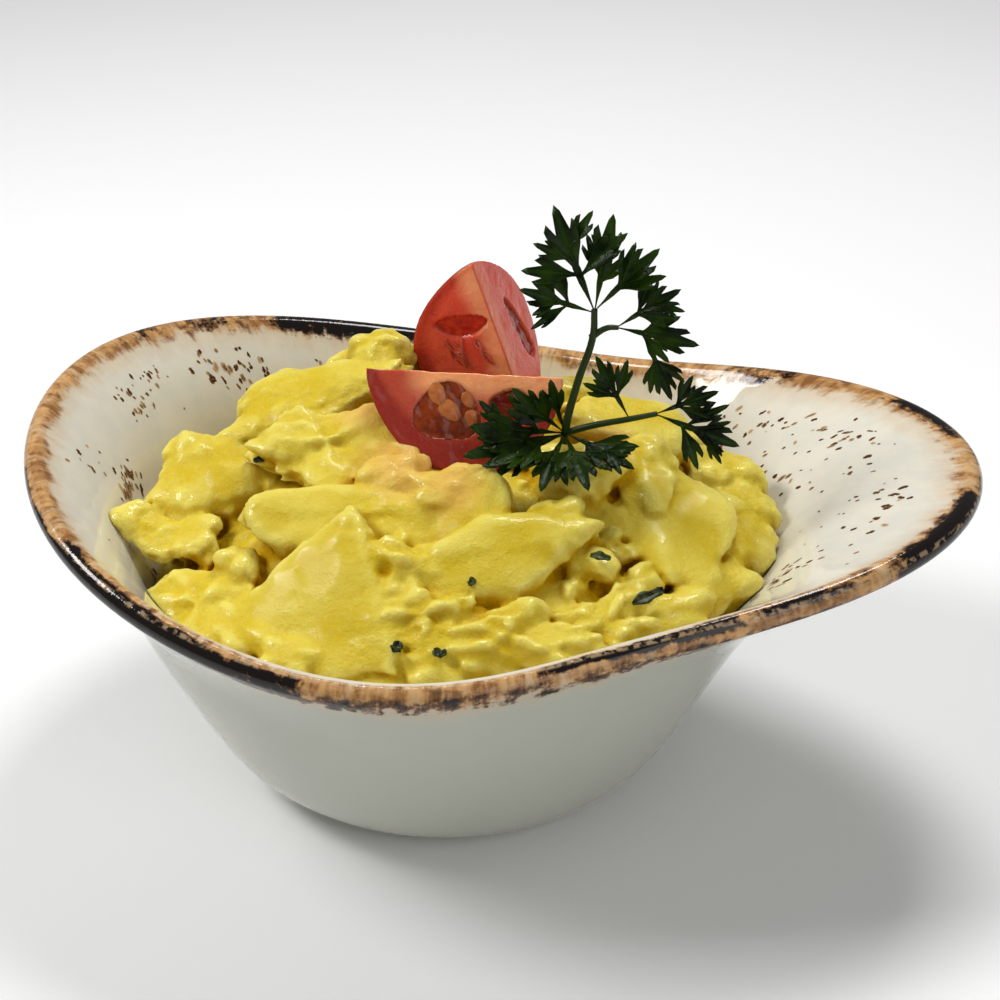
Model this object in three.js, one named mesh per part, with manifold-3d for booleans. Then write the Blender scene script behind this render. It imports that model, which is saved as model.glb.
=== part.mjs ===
// A glazed bowl with one long lip and one short one, heaped with potato salad and garnished with two
// tomato wedges and a sprig of parsley. Millimetres, +Z up. The bowl stands on its foot at z = 0, its
// long lip points along +X, and the origin is under the middle of the bowl's length and width.
import * as THREE from "three";
import { mergeVertices } from "three/addons/utils/BufferGeometryUtils.js";
import Module from "manifold-3d";

const wasm = await Module();
wasm.setup();

// ---------------------------------------------------------------- driving dimensions
const BODY_AXIS_X = -11.15; // the round body stands behind the middle of the bowl, away from the long lip
const GAP = 0.35; // clearance between pieces that touch

// Bowl. The rim's radius and height are the sum of a mean and a few waves round the bowl.
const RIM_RADIUS_WAVES = [77.2, 4.7, 10.5, 5.4, 2.3, 1.1];
const RIM_HEIGHT_WAVES = [61.2, -1.8, 7.4, 0.2];
const WALL = 4.6;
const FOOT_RADIUS = 35.9;
const FOOT_RING = { inner: 28.5, outer: 34.6, recess: 1.4 };
const FOOT_EDGE = 0.9; // height of the small round at the foot's outer edge
const FLOOR = 5.4; // inside floor above the table
const FLOOR_RADIUS = 26.9; // of the flat part of that floor
const SHOULDER = { radius: 56.9, height: 29.5 }; // where the round body ends and the lips begin to flare
const BODY_LEAN = { foot: [9.6, 6.25], shoulder: [10.3, 20.9] }; // curve handles of the round body
// The lip's slope at the rim goes from steep where the rim is narrowest to flat where it is widest, in
// degrees; early makes it flatten sooner, and reach is the curve handle's share of the lip's length.
const FLARE = { narrowest: 69, widest: 101, steep: 66, flat: 14, early: 0.55, reach: 0.45 };
const BOWL_SIDES = 48;
const BODY_STEPS = 4;
const LIP_STEPS = 6;
const EDGE_STEPS = 4;

// Salad. The bare core fills the bowl to this level, and swells to the heap's height.
const FILL = { mean: 43, front: 4, right: 3 }; // height at the wall, more at the front and right
const HEAP = { height: 68, fullness: 0.9 };
const CORE_SIDES = BOWL_SIDES / 2;
const CORE_RINGS = 4;
const ROOM_TOP = 140; // height to which the room above the bowl is open
const HALVINGS = 24; // steps of the search for the fill level on the wall

// A piece of potato: squareness is of its outline and flatness of its faces (2 would be a ball and more
// is squarer). The outline has small waves, each a number of bumps round the piece and their height as a
// share of its size. A slice with corners is drawn out by that much towards them.
const LUMP = {
  squareness: 2.6,
  flatness: 3.4,
  waves: [{ bumps: 3, height: 0.1 }, { bumps: 5, height: 0.07 }],
  corner: { pull: 0.75, ease: 0.86 },
};

// One tomato of this size was cut into quarters; its blossom end is pointed.
const TOMATO = { radius: 19, pointed: 19.5, blunt: 17.5, sides: 32, rings: 7 };
const POCKET_SIDES = 12;
const POCKET_RINGS = 7;
const FLUSH = 0.02; // how far the jelly stays inside the cut face

// Parsley leaflet. Lengths are shares of the leaflet's own length, and a lobe's are shares of the lobe's.
const LEAF = { thickness: 0.9, middle: 0.06, ripple: 0.6, uneven: 1.04, tipAt: 0.8, tipWidth: 1.5 };
const LOBE = { first: 0.24, last: 0.54, width: 0.42, widestAt: 0.62, notch: 0.42, heel: 0.92, shorter: 0.1 };
const LOBE_TURN = 6; // degrees by which each next pair of lobes points more forward
const STALK_STEPS = 2; // rings between two points of a stalk
const STALK_SEGMENTS = 4;

// ---------------------------------------------------------------- closed meshes to solids and back
function solidOf(geometry) {
  const bare = geometry.clone();
  bare.deleteAttribute("normal");
  bare.deleteAttribute("uv");
  const merged = mergeVertices(bare, 1e-4);
  return new wasm.Manifold(
    new wasm.Mesh({
      numProp: 3,
      vertProperties: new Float32Array(merged.attributes.position.array),
      triVerts: new Uint32Array(merged.index.array),
    }),
  );
}

function geometryOf(solid) {
  const { numProp, numVert, vertProperties, triVerts } = solid.getMesh();
  const positions = new Float32Array(numVert * 3);
  for (let i = 0; i < numVert; i++) {
    positions.set(vertProperties.subarray(i * numProp, i * numProp + 3), i * 3);
  }
  const geometry = new THREE.BufferGeometry();
  geometry.setAttribute("position", new THREE.BufferAttribute(positions, 3));
  geometry.setIndex(new THREE.BufferAttribute(triVerts, 1));
  geometry.computeVertexNormals();
  return geometry;
}

function union(solids) {
  return solids.reduce((whole, next) => whole.add(next));
}

// The largest body, without scraps that a cut leaves loose.
function largest(solid) {
  return solid.decompose().reduce((best, body) => (body.volume() > best.volume() ? body : best));
}

// A lathe whose section changes as it goes round: stations(angle) gives [radius, height] pairs that
// start and end on the axis, always the same number of them.
function turnedBody(sides, stations) {
  const count = stations(0).length;
  const blank = Array.from({ length: count }, (_, j) => new THREE.Vector2(j, j));
  const geometry = new THREE.LatheGeometry(blank, sides);
  const position = geometry.attributes.position;
  for (let i = 0; i <= sides; i++) {
    const angle = (2 * Math.PI * (i % sides)) / sides;
    stations(angle).forEach(([radius, height], j) => {
      position.setXYZ(i * count + j, radius * Math.cos(angle), radius * Math.sin(angle), height);
    });
  }
  return geometry;
}

// ---------------------------------------------------------------- bowl
function waves(amplitudes, angle) {
  return amplitudes.reduce((sum, amplitude, k) => sum + amplitude * Math.cos(k * angle), 0);
}

const roundBody = new THREE.CubicBezierCurve(
  new THREE.Vector2(FOOT_RADIUS, FOOT_EDGE),
  new THREE.Vector2(FOOT_RADIUS + BODY_LEAN.foot[0], BODY_LEAN.foot[1]),
  new THREE.Vector2(SHOULDER.radius - BODY_LEAN.shoulder[0], SHOULDER.height - BODY_LEAN.shoulder[1]),
  new THREE.Vector2(SHOULDER.radius, SHOULDER.height),
);

// The outside of the lip at one angle, from the shoulder to where the rounded rim begins.
function lipCurve(angle) {
  const rimRadius = waves(RIM_RADIUS_WAVES, angle);
  const rimHeight = waves(RIM_HEIGHT_WAVES, angle);
  const flare = THREE.MathUtils.clamp(
    (rimRadius - FLARE.narrowest) / (FLARE.widest - FLARE.narrowest),
    0,
    1,
  );
  const slope = THREE.MathUtils.degToRad(THREE.MathUtils.lerp(FLARE.steep, FLARE.flat, flare ** FLARE.early));
  const along = new THREE.Vector2(Math.cos(slope), Math.sin(slope));
  const outward = new THREE.Vector2(Math.sin(slope), -Math.cos(slope));
  const edge = new THREE.Vector2(rimRadius - WALL / 2, rimHeight);
  const start = new THREE.Vector2(SHOULDER.radius, SHOULDER.height);
  const end = edge.clone().addScaledVector(outward, WALL / 2);
  const handle = FLARE.reach * start.distanceTo(end);
  const rise = roundBody.getTangent(1);
  const curve = new THREE.CubicBezierCurve(
    start,
    start.clone().addScaledVector(rise, handle),
    end.clone().addScaledVector(along, -handle),
    end,
  );
  return { curve, edge, along, outward };
}

// A point of the wall, inset from its outside. part runs 0 to 1 up the body and 1 to 2 up the lip.
function wallPoint(lip, part, inset) {
  const curve = part < 1 ? roundBody : lip.curve;
  const t = part < 1 ? part : part - 1;
  const point = curve.getPoint(t);
  const tangent = curve.getTangent(t);
  return [point.x - inset * tangent.y, point.y + inset * tangent.x];
}

function insideOfWall(lip, part, clearance) {
  const [radius, height] = wallPoint(lip, part, WALL + clearance);
  return [radius, Math.max(height, FLOOR + clearance)];
}

function bowlStations(angle) {
  const lip = lipCurve(angle);
  const stations = [
    [0, FOOT_RING.recess],
    [FOOT_RING.inner - FOOT_RING.recess, FOOT_RING.recess],
    [FOOT_RING.inner, 0],
    [FOOT_RING.outer, 0],
  ];
  for (let j = 0; j < BODY_STEPS; j++) stations.push(wallPoint(lip, j / BODY_STEPS, 0));
  for (let j = 0; j < LIP_STEPS; j++) stations.push(wallPoint(lip, 1 + j / LIP_STEPS, 0));
  for (let j = 0; j <= EDGE_STEPS; j++) {
    const turn = (Math.PI * j) / EDGE_STEPS;
    const across = (WALL / 2) * Math.cos(turn);
    const forward = (WALL / 2) * Math.sin(turn);
    stations.push([
      lip.edge.x + across * lip.outward.x + forward * lip.along.x,
      lip.edge.y + across * lip.outward.y + forward * lip.along.y,
    ]);
  }
  for (let j = LIP_STEPS - 1; j >= 0; j--) stations.push(insideOfWall(lip, 1 + j / LIP_STEPS, 0));
  for (let j = BODY_STEPS - 1; j >= 1; j--) stations.push(insideOfWall(lip, j / BODY_STEPS, 0));
  stations.push([FLOOR_RADIUS, FLOOR], [0, FLOOR]);
  return stations;
}

// ---------------------------------------------------------------- potato salad
// How far up the lip the bare core reaches, from the height at which it meets the wall.
function fillPart(lip, angle) {
  const level = FILL.mean - FILL.front * Math.sin(angle) + FILL.right * Math.cos(angle);
  let low = 1;
  let high = 2;
  for (let i = 0; i < HALVINGS; i++) {
    const middle = (low + high) / 2;
    if (insideOfWall(lip, middle, GAP)[1] < level) low = middle;
    else high = middle;
  }
  return low;
}

function coreStations(angle) {
  const lip = lipCurve(angle);
  const top = fillPart(lip, angle);
  const stations = [[0, FLOOR + GAP], [FLOOR_RADIUS, FLOOR + GAP]];
  for (let j = 1; j <= BODY_STEPS; j++) stations.push(insideOfWall(lip, j / BODY_STEPS, GAP));
  stations.push(insideOfWall(lip, (1 + top) / 2, GAP), insideOfWall(lip, top, GAP));
  const [shoreRadius, shoreHeight] = stations[stations.length - 1];
  for (let j = CORE_RINGS - 1; j >= 0; j--) {
    const share = j / CORE_RINGS;
    const rise = (HEAP.height - shoreHeight) * (1 - share ** 2) ** HEAP.fullness;
    stations.push([shoreRadius * share, shoreHeight + rise]);
  }
  return stations;
}

// The room inside the bowl, open upwards: whatever lies in the bowl is trimmed to it.
function roomStations(angle) {
  const lip = lipCurve(angle);
  const stations = [[0, FLOOR + GAP], [FLOOR_RADIUS, FLOOR + GAP]];
  for (let j = 1; j < BODY_STEPS; j++) stations.push(insideOfWall(lip, j / BODY_STEPS, GAP));
  for (let j = 0; j <= LIP_STEPS; j++) stations.push(insideOfWall(lip, 1 + j / LIP_STEPS, GAP));
  const [mouth] = stations[stations.length - 1];
  stations.push([mouth, ROOM_TOP], [0, ROOM_TOP]);
  return stations;
}

// Distance from the middle of a regular polygon to its edge, with the middle of each side at distance 1.
function cornerReach(angle, corners) {
  const step = (2 * Math.PI) / corners;
  return 1 / Math.cos(THREE.MathUtils.euclideanModulo(angle, step) - step / 2);
}

// An irregular potato slice or lump: a ball pressed flat and squared off a little, with a wavy outline.
function potatoPiece(piece) {
  const { at, size, yaw = 0, pitch = 0, roll = 0, wobble = 1, detail = 1 } = piece;
  const { flat = LUMP.flatness, corners = 0 } = piece;
  const geometry = new THREE.IcosahedronGeometry(1, detail);
  const position = geometry.attributes.position;
  const v = new THREE.Vector3();
  const turn = new THREE.Matrix4().makeRotationFromEuler(
    new THREE.Euler(
      THREE.MathUtils.degToRad(roll),
      THREE.MathUtils.degToRad(-pitch),
      THREE.MathUtils.degToRad(yaw),
      "ZYX",
    ),
  );
  const phase = at[0] * 0.7 + at[1] * 1.3; // so that no two outlines are the same
  for (let i = 0; i < position.count; i++) {
    v.fromBufferAttribute(position, i);
    const power = LUMP.squareness;
    const side = (Math.abs(v.x) ** power + Math.abs(v.y) ** power) ** (1 / power);
    const norm = (side ** flat + Math.abs(v.z) ** flat) ** (1 / flat);
    const around = Math.atan2(v.y, v.x);
    const level = Math.hypot(v.x, v.y);
    const wave = LUMP.waves.reduce(
      (sum, { bumps, height }, k) => sum + height * Math.sin(bumps * around + (k + 1) * phase),
      0,
    );
    v.divideScalar(norm).multiplyScalar(1 + wobble * wave * level);
    if (corners) {
      const { pull, ease } = LUMP.corner;
      const stretch = 1 + pull * level * (cornerReach(around, corners) * ease - 1);
      v.set(v.x * stretch, v.y * stretch, v.z);
    }
    v.set((v.x * size[0]) / 2, (v.y * size[1]) / 2, (v.z * size[2]) / 2);
    v.applyMatrix4(turn);
    position.setXYZ(i, v.x + at[0], v.y + at[1], v.z + at[2]);
  }
  return solidOf(geometry);
}

// The pieces that show, by place. at is the middle, size is length, width and thickness; yaw turns the
// length round +Z from +X, pitch lifts its far end, and roll then tips the piece about its length.
const SALAD_PIECES = [
  // left
  { at: [-49, -23, 55.5], size: [21, 10, 4], yaw: -12, pitch: -4, roll: 16, wobble: 1.4 }, // flap
  { at: [-40.5, -26, 54.5], size: [8, 5, 3.5], yaw: -65, pitch: -30, roll: 10 }, // flap's drooping end
  { at: [-44, -8, 58], size: [24, 20, 12], yaw: 35, pitch: 12, roll: 18, detail: 2, corners: 4 }, // left slab
  { at: [-32, -33.5, 56], size: [9.5, 7, 7], yaw: -40, pitch: -10, flat: 2.2 }, // bean
  { at: [-37, -40, 49], size: [25, 17, 9], yaw: -35, roll: 22 }, // low left mass
  { at: [-28, -47, 50], size: [15, 10, 8], yaw: -25, roll: 20 },
  // back left and top
  { at: [-28, 7, 68], size: [35, 18, 9], yaw: 28, pitch: 16, roll: 14, detail: 2, corners: 4 }, // top slab
  { at: [-16.5, 20, 73], size: [13, 12, 11], yaw: 30, pitch: 15, roll: 5, flat: 2.4 }, // peak
  { at: [-20, -10, 68], size: [25, 17, 7], yaw: -8, pitch: -4, roll: 24, wobble: 1.3 }, // ragged slab
  { at: [-9, -8, 69], size: [14, 12, 7], yaw: -20, pitch: -10, roll: 18 },
  { at: [-6, -17, 67], size: [13, 11, 9], yaw: 10, roll: 20, flat: 2.6 }, // lumps stained by the tomato
  { at: [3, -21, 67], size: [13, 9, 8], yaw: -5, roll: 25, flat: 2.6 },
  // middle
  { at: [-13, -27, 63], size: [37, 15, 8], yaw: 4, roll: 30 }, // smooth slab
  // big front slice, three-cornered
  { at: [-13, -44, 55], size: [28, 25, 8], yaw: -38, pitch: -14, roll: 38, detail: 2, flat: 4.5, corners: 3 },
  { at: [1, -38, 59], size: [17, 14, 9], yaw: 20, roll: 32 },
  { at: [9, -23.3, 65.5], size: [15, 18, 7], yaw: -10, pitch: 6, roll: 38, flat: 5, wobble: 0.5 }, // round slice
  // rising slab
  { at: [16, -32, 61], size: [31, 16, 10], yaw: 27, pitch: 10, roll: 34, detail: 2, flat: 4.5, corners: 4 },
  { at: [25, -24, 65], size: [11, 9, 7], yaw: 10, roll: 25 },
  // front
  { at: [-18, -53, 50], size: [13, 9, 7], yaw: -10, roll: 25, flat: 2.6 },
  { at: [8, -53, 50], size: [14, 9, 8], yaw: 5, roll: 22, flat: 2.6 },
  { at: [4, -46, 55], size: [17, 12, 9], yaw: 10, roll: 30 },
  { at: [20, -47, 53], size: [28, 13, 9], yaw: 9, roll: 28 }, // lower front mass
  { at: [36, -40, 53], size: [20, 12, 8], yaw: 24, roll: 24 },
  { at: [46, -34, 52], size: [19, 10, 8], yaw: 38, pitch: 4, roll: 20 },
  { at: [32, -29, 60], size: [12, 6, 5.5], yaw: -12, pitch: 4, roll: 10, flat: 2.4 }, // finger
  { at: [40, -31, 56], size: [14, 7, 7], yaw: 62, pitch: 10, flat: 2.4 }, // finger
  // right
  // big right slab
  { at: [45, -12, 59], size: [36, 19, 8], yaw: -62, pitch: -22, roll: -4, detail: 2, flat: 4.5, corners: 4 },
  { at: [38, -4, 65], size: [18, 14, 8], yaw: -40, pitch: -12, roll: 16 },
  { at: [54, -20, 52], size: [13, 16, 8], yaw: -40, pitch: -16 },
  { at: [58, -6, 52], size: [12, 15, 8], yaw: -20, pitch: -18 },
  { at: [57, 5, 54], size: [13, 12, 8], yaw: 10, pitch: -16 },
  { at: [52, 13, 57], size: [15, 13, 8], yaw: 30, pitch: -12 },
  // behind the garnish
  { at: [34, 14, 64], size: [24, 20, 9], yaw: -12, pitch: -6, roll: -4, flat: 4.5, wobble: 0.5 },
  { at: [-17, 27, 66], size: [22, 17, 12], yaw: 20, roll: -30 },
  { at: [27, -9, 67], size: [17, 13, 8], yaw: 15, roll: 18 },
  { at: [16, 29, 62], size: [25, 19, 9], yaw: 12, roll: -22 },
  { at: [-8, 37, 60], size: [24, 17, 9], yaw: 165, roll: 26 },
  { at: [-33, 25, 58.5], size: [22, 16, 9], yaw: 40, pitch: 8, roll: -20 },
  { at: [-48, 10, 52.5], size: [16, 13, 8], yaw: 75, roll: -20 },
  { at: [36, 33, 53], size: [22, 16, 8], yaw: -28, roll: -24 },
  { at: [8, 48, 51], size: [24, 14, 8], yaw: 5, roll: -30 },
  { at: [-24, 44, 50.5], size: [18, 13, 8], yaw: 22, roll: -28 },
];

// Scraps of herb stuck to the salad: middle, length and turn.
const HERB_SCRAPS = [
  { at: [-41, 0, 65.5], size: [6, 2.4, 1.2], yaw: -40, pitch: 20 },
  { at: [-33, -12, 66.5], size: [2.4, 1.4, 1.2], yaw: 30 },
  { at: [34, -32, 63.5], size: [4, 1.8, 1.2], yaw: -8 },
  { at: [43, -36, 58.5], size: [6.5, 2, 1.4], yaw: 40 },
  { at: [1, -54, 55], size: [2.8, 1.8, 1.2], yaw: 80 },
  { at: [9, -54, 54.8], size: [2.2, 1.5, 1.2], yaw: -20 },
  { at: [12, -41, 61.5], size: [1.8, 1.2, 1.2], yaw: 70 },
];

function saladSolid(cutters) {
  const core = solidOf(turnedBody(CORE_SIDES, coreStations));
  const room = solidOf(turnedBody(BOWL_SIDES, roomStations));
  const scraps = HERB_SCRAPS.map((scrap) => potatoPiece({ ...scrap, detail: 0 }));
  const pieces = union([...SALAD_PIECES.map(potatoPiece), ...scraps]);
  const heap = core.add(pieces.intersect(room));
  return largest(cutters.reduce((rest, cutter) => rest.subtract(cutter), heap));
}

// ---------------------------------------------------------------- tomato wedges
// Radius of the whole tomato at a distance from its pointed end, measured along the core. The smaller
// tip is, the rounder the end.
function tomatoRadius(along, tip, grow) {
  const { radius, pointed, blunt } = TOMATO;
  if (along < pointed) return (radius + grow) * Math.sin((Math.PI / 2) * (along / pointed) ** tip);
  return (radius + grow) * Math.sqrt(Math.max(0, 1 - ((along - pointed) / blunt) ** 2));
}

// A quarter: the core runs along +Y, one cut face lies in the plane x = 0 towards +Z, and the other
// in the plane z = 0 towards +X.
function quarter(tip, grow) {
  const length = TOMATO.pointed + TOMATO.blunt;
  const profile = [];
  for (let j = 0; j <= 2 * TOMATO.rings; j++) {
    const share = (1 - Math.cos((Math.PI * j) / (2 * TOMATO.rings))) / 2;
    const along = share * (length + 2 * grow) - grow;
    profile.push(new THREE.Vector2(tomatoRadius(share * length, tip, grow), along));
  }
  profile[0].x = 0;
  profile[profile.length - 1].x = 0;
  const whole = solidOf(new THREE.LatheGeometry(profile, TOMATO.sides));
  const side = 2 * length;
  const block = new THREE.BoxGeometry(side, side, side);
  block.translate(side / 2 - grow, length / 2, side / 2 - grow);
  return whole.intersect(solidOf(block));
}

// A seed pocket: a long lens beside the core, under the outer wall. inFace x lies in the plane z = 0.
function pocket({ inFace, along, out, turn, length, width, depth }, shrink) {
  const geometry = new THREE.SphereGeometry(1, POCKET_SIDES, POCKET_RINGS);
  geometry.scale(width / 2 - shrink, length / 2 - shrink, depth - shrink);
  geometry.rotateZ(THREE.MathUtils.degToRad(turn));
  geometry.translate(out, along, 0);
  if (inFace === "z") geometry.rotateY(-Math.PI / 2);
  return geometry;
}

// Each wedge is placed by its pointed end, the direction of its core, and the direction in which its
// x face runs away from the core. The z face is the one that shows from the front.
const WEDGES = {
  front: {
    tip: 0.64,
    pole: [-13.8, -4.5, 83.8],
    core: [0.985, 0.145, -0.05],
    xFace: [0, 0.86, -0.5],
    pockets: {
      left: { inFace: "z", along: 15.6, out: 7.6, turn: 0, length: 12, width: 10.5, depth: 6 },
      right: { inFace: "z", along: 27.5, out: 6, turn: -20, length: 7.5, width: 6.5, depth: 5 },
    },
  },
  back: {
    tip: 0.76,
    pole: [2.5, 18.5, 96],
    core: [0.32, 0.02, -0.95],
    xFace: [0.1, 0.99, 0.07],
    pockets: {
      left: { inFace: "z", along: 12.5, out: 6.8, turn: 86, length: 10.5, width: 4.6, depth: 4 },
      right: { inFace: "x", along: 20.5, out: 11.2, turn: -17, length: 16, width: 4.2, depth: 4 },
    },
  },
};

function wedgeMatrix({ pole, core, xFace }) {
  const y = new THREE.Vector3(...core).normalize();
  const x = new THREE.Vector3(...xFace);
  x.addScaledVector(y, -x.dot(y)).normalize();
  const z = new THREE.Vector3().crossVectors(x, y);
  return new THREE.Matrix4().makeBasis(x, y, z).setPosition(new THREE.Vector3(...pole));
}

function wedgeSolids(wedge) {
  let flesh = quarter(wedge.tip, 0);
  const jelly = {};
  const bounds = quarter(wedge.tip, -FLUSH);
  for (const [name, shape] of Object.entries(wedge.pockets)) {
    flesh = flesh.subtract(solidOf(pocket(shape, 0)));
    jelly[name] = solidOf(pocket(shape, GAP)).intersect(bounds);
  }
  return { flesh, jelly, hollow: geometryOf(quarter(wedge.tip, GAP)).applyMatrix4(wedgeMatrix(wedge)) };
}

// ---------------------------------------------------------------- parsley
// One side of a leaflet's outline, from its base at y = 0 to its tip at y = length: lobes that shorten
// towards the tip, with notches between them down to the narrow middle.
function leafletSide({ length, pairs, spread, reach }) {
  const middle = LEAF.middle * length;
  const points = [[middle * 0.5, 0]];
  for (let k = 0; k < pairs; k++) {
    const root = (LOBE.first + ((LOBE.last - LOBE.first) * k) / Math.max(1, pairs - 1)) * length;
    const angle = THREE.MathUtils.degToRad(spread - LOBE_TURN * k);
    const lobe = (reach - LOBE.shorter * k) * length;
    const [sin, cos] = [Math.sin(angle), Math.cos(angle)];
    const beside = (along, across) => [along * sin + across * cos, root + along * cos - across * sin];
    const half = (LOBE.width * lobe) / 2;
    points.push([middle, root * LOBE.heel]);
    points.push(beside(LOBE.widestAt * lobe, half), beside(lobe, 0), beside(LOBE.widestAt * lobe, -half));
    points.push([middle, root + LOBE.notch * lobe * cos]);
  }
  points.push([LEAF.tipWidth * middle, LEAF.tipAt * length]);
  return points;
}

// A leaflet: a thin leaf in its outline, rippled, both faces alike.
function leaflet({ base, tip, normal, pairs, spread = 42, reach = 0.5 }) {
  const from = new THREE.Vector3(...base);
  const y = new THREE.Vector3(...tip).sub(from);
  const length = y.length();
  y.normalize();
  const x = new THREE.Vector3().crossVectors(y, new THREE.Vector3(...normal)).normalize();
  const z = new THREE.Vector3().crossVectors(x, y);
  const side = leafletSide({ length, pairs, spread, reach });
  const mirrored = side.map(([across, along]) => [-across, along * LEAF.uneven]).reverse();
  const outline = new THREE.Shape([...side, [0, length], ...mirrored].map((p) => new THREE.Vector2(...p)));
  const geometry = new THREE.ExtrudeGeometry(outline, { depth: LEAF.thickness, bevelEnabled: false });
  const position = geometry.attributes.position;
  for (let i = 0; i < position.count; i++) {
    const across = position.getX(i) / length;
    const along = position.getY(i) / length;
    const lift = LEAF.ripple * (Math.sin(Math.PI * along) + Math.sin(9 * across + 2 * along));
    position.setZ(i, position.getZ(i) - LEAF.thickness / 2 + lift);
  }
  return solidOf(geometry.applyMatrix4(new THREE.Matrix4().makeBasis(x, y, z).setPosition(from)));
}

function stalk(points, radius) {
  const path = new THREE.CatmullRomCurve3(points.map((p) => new THREE.Vector3(...p)));
  const round = new THREE.Shape();
  round.absarc(0, 0, radius, 0, 2 * Math.PI);
  return solidOf(
    new THREE.ExtrudeGeometry(round, {
      steps: STALK_STEPS * (points.length - 1),
      curveSegments: STALK_SEGMENTS,
      bevelEnabled: false,
      extrudePath: path,
    }),
  );
}

const FRONT = [-0.14, -0.87, 0.48]; // a leaf that shows its face to the table's front edge
const PARSLEY = {
  stalks: [
    { radius: 1, points: [[24, -3, 64], [24, -6, 74], [26, -5, 84], [28.5, -3, 93], [28.6, -2.5, 98]] },
    { radius: 0.8, points: [[28, -3, 92.5], [31, -2.5, 94.5], [33, -2, 94.5]] },
    { radius: 0.85, points: [[24, -6, 74], [29, -7, 76.5], [36, -7, 78.5], [41, -6, 79.5]] },
  ],
  leaflets: [
    { base: [28.6, -2.5, 97.4], tip: [15, -4.5, 102], normal: FRONT, pairs: 2, spread: 46 },
    { base: [28.6, -2.5, 97.6], tip: [20.5, -1, 117], normal: FRONT, pairs: 2, spread: 56 },
    { base: [28.6, -2.5, 97.7], tip: [31.5, 0, 116], normal: FRONT, pairs: 2, spread: 38, reach: 0.4 },
    { base: [28.6, -2.5, 97.8], tip: [40, -0.5, 110], normal: FRONT, pairs: 1, spread: 30 },
    { base: [32.6, -2, 94.5], tip: [44, -2, 103], normal: FRONT, pairs: 2, spread: 40 },
    { base: [32.6, -2, 94.5], tip: [48, -4, 93], normal: FRONT, pairs: 1, spread: 34 },
    { base: [38, -2.6, 93.6], tip: [43.5, -5, 82], normal: FRONT, pairs: 1, spread: 28 },
    { base: [36, -7, 78.5], tip: [29, -3, 89], normal: FRONT, pairs: 1, spread: 42 },
    { base: [40.6, -6, 79.4], tip: [52, -4, 84], normal: FRONT, pairs: 1, spread: 38 },
    { base: [40.6, -6, 79.4], tip: [56.5, -7, 74.5], normal: FRONT, pairs: 2, spread: 46 },
    { base: [24, -6.6, 74.4], tip: [15, -12, 85.5], normal: FRONT, pairs: 1, spread: 26 },
    { base: [24, -6.6, 74.4], tip: [21.5, -9, 86.5], normal: FRONT, pairs: 0 },
    { base: [24, -6.6, 74.4], tip: [8, -17, 79.8], normal: FRONT, pairs: 2, spread: 38 },
    { base: [24, -6.6, 74.2], tip: [7.5, -20.5, 75.6], normal: FRONT, pairs: 1, spread: 24 },
    { base: [24, -6.6, 74.2], tip: [12, -23.5, 75], normal: [-0.1, -0.6, 0.8], pairs: 1, spread: 24 },
    { base: [24, -6.6, 74.2], tip: [22, -24, 72], normal: [0, -0.4, 0.9], pairs: 1, spread: 26 },
    { base: [24, -6.6, 74.2], tip: [30.5, -22.5, 72], normal: [0, -0.4, 0.9], pairs: 1, spread: 32 },
    { base: [24, -6.6, 74.4], tip: [38, -16, 73.4], normal: [0.1, -0.5, 0.85], pairs: 2, spread: 32 },
  ],
};

function parsleySolid() {
  const stalks = PARSLEY.stalks.map(({ points, radius }) => stalk(points, radius));
  return largest(union([...stalks, ...PARSLEY.leaflets.map(leaflet)]));
}

function stemHole() {
  const [first] = PARSLEY.stalks;
  const [[x, y, z], ...above] = first.points;
  return stalk([[x, y, z - GAP], ...above.slice(0, 2)], first.radius + GAP);
}

// ---------------------------------------------------------------- colours and assembly
const finishes = {
  glaze: new THREE.MeshStandardMaterial({ color: 0xdcd9d0, roughness: 0.15, metalness: 0 }),
  potato: new THREE.MeshStandardMaterial({ color: 0xe4d05a, roughness: 0.4, metalness: 0 }),
  tomato: new THREE.MeshStandardMaterial({ color: 0xb8503c, roughness: 0.3, metalness: 0 }),
  jelly: new THREE.MeshStandardMaterial({ color: 0x8c3a22, roughness: 0.2, metalness: 0 }),
  parsley: new THREE.MeshStandardMaterial({ color: 0x24481c, roughness: 0.4, metalness: 0 }),
};

function mesh(name, geometry, finish) {
  const made = new THREE.Mesh(geometry, finish);
  made.name = name;
  return made;
}

const servedBowl = new THREE.Group();
servedBowl.position.x = BODY_AXIS_X;
servedBowl.add(mesh("bowl", turnedBody(BOWL_SIDES, bowlStations), finishes.glaze));

const cutters = [stemHole()];
for (const [place, wedge] of Object.entries(WEDGES)) {
  const { flesh, jelly, hollow } = wedgeSolids(wedge);
  const tomato = new THREE.Group();
  tomato.applyMatrix4(wedgeMatrix(wedge));
  tomato.add(mesh(`tomato_${place}_flesh`, geometryOf(flesh), finishes.tomato));
  for (const [side, solid] of Object.entries(jelly)) {
    tomato.add(mesh(`tomato_${place}_jelly_${side}`, geometryOf(solid), finishes.jelly));
  }
  servedBowl.add(tomato);
  cutters.push(solidOf(hollow));
}

servedBowl.add(mesh("potato_salad", geometryOf(saladSolid(cutters)), finishes.potato));
servedBowl.add(mesh("parsley_sprig", geometryOf(parsleySolid()), finishes.parsley));

const bowlOfPotatoSalad = new THREE.Group();
bowlOfPotatoSalad.add(servedBowl);
export default bowlOfPotatoSalad;
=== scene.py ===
"""A lipped bowl of potato salad with two tomato wedges and a parsley sprig.

Sizes are in millimetres from the middle of the bowl's round body, which stands a little to the left of the
whole bowl's middle; metres() turns them into the frame's metres.
"""

import math
import random

import bmesh
import bpy
import numpy as np
from bpy.props import FloatProperty, FloatVectorProperty, IntProperty, PointerProperty
from mathutils import Matrix, Vector, noise
from mathutils.bvhtree import BVHTree


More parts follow.
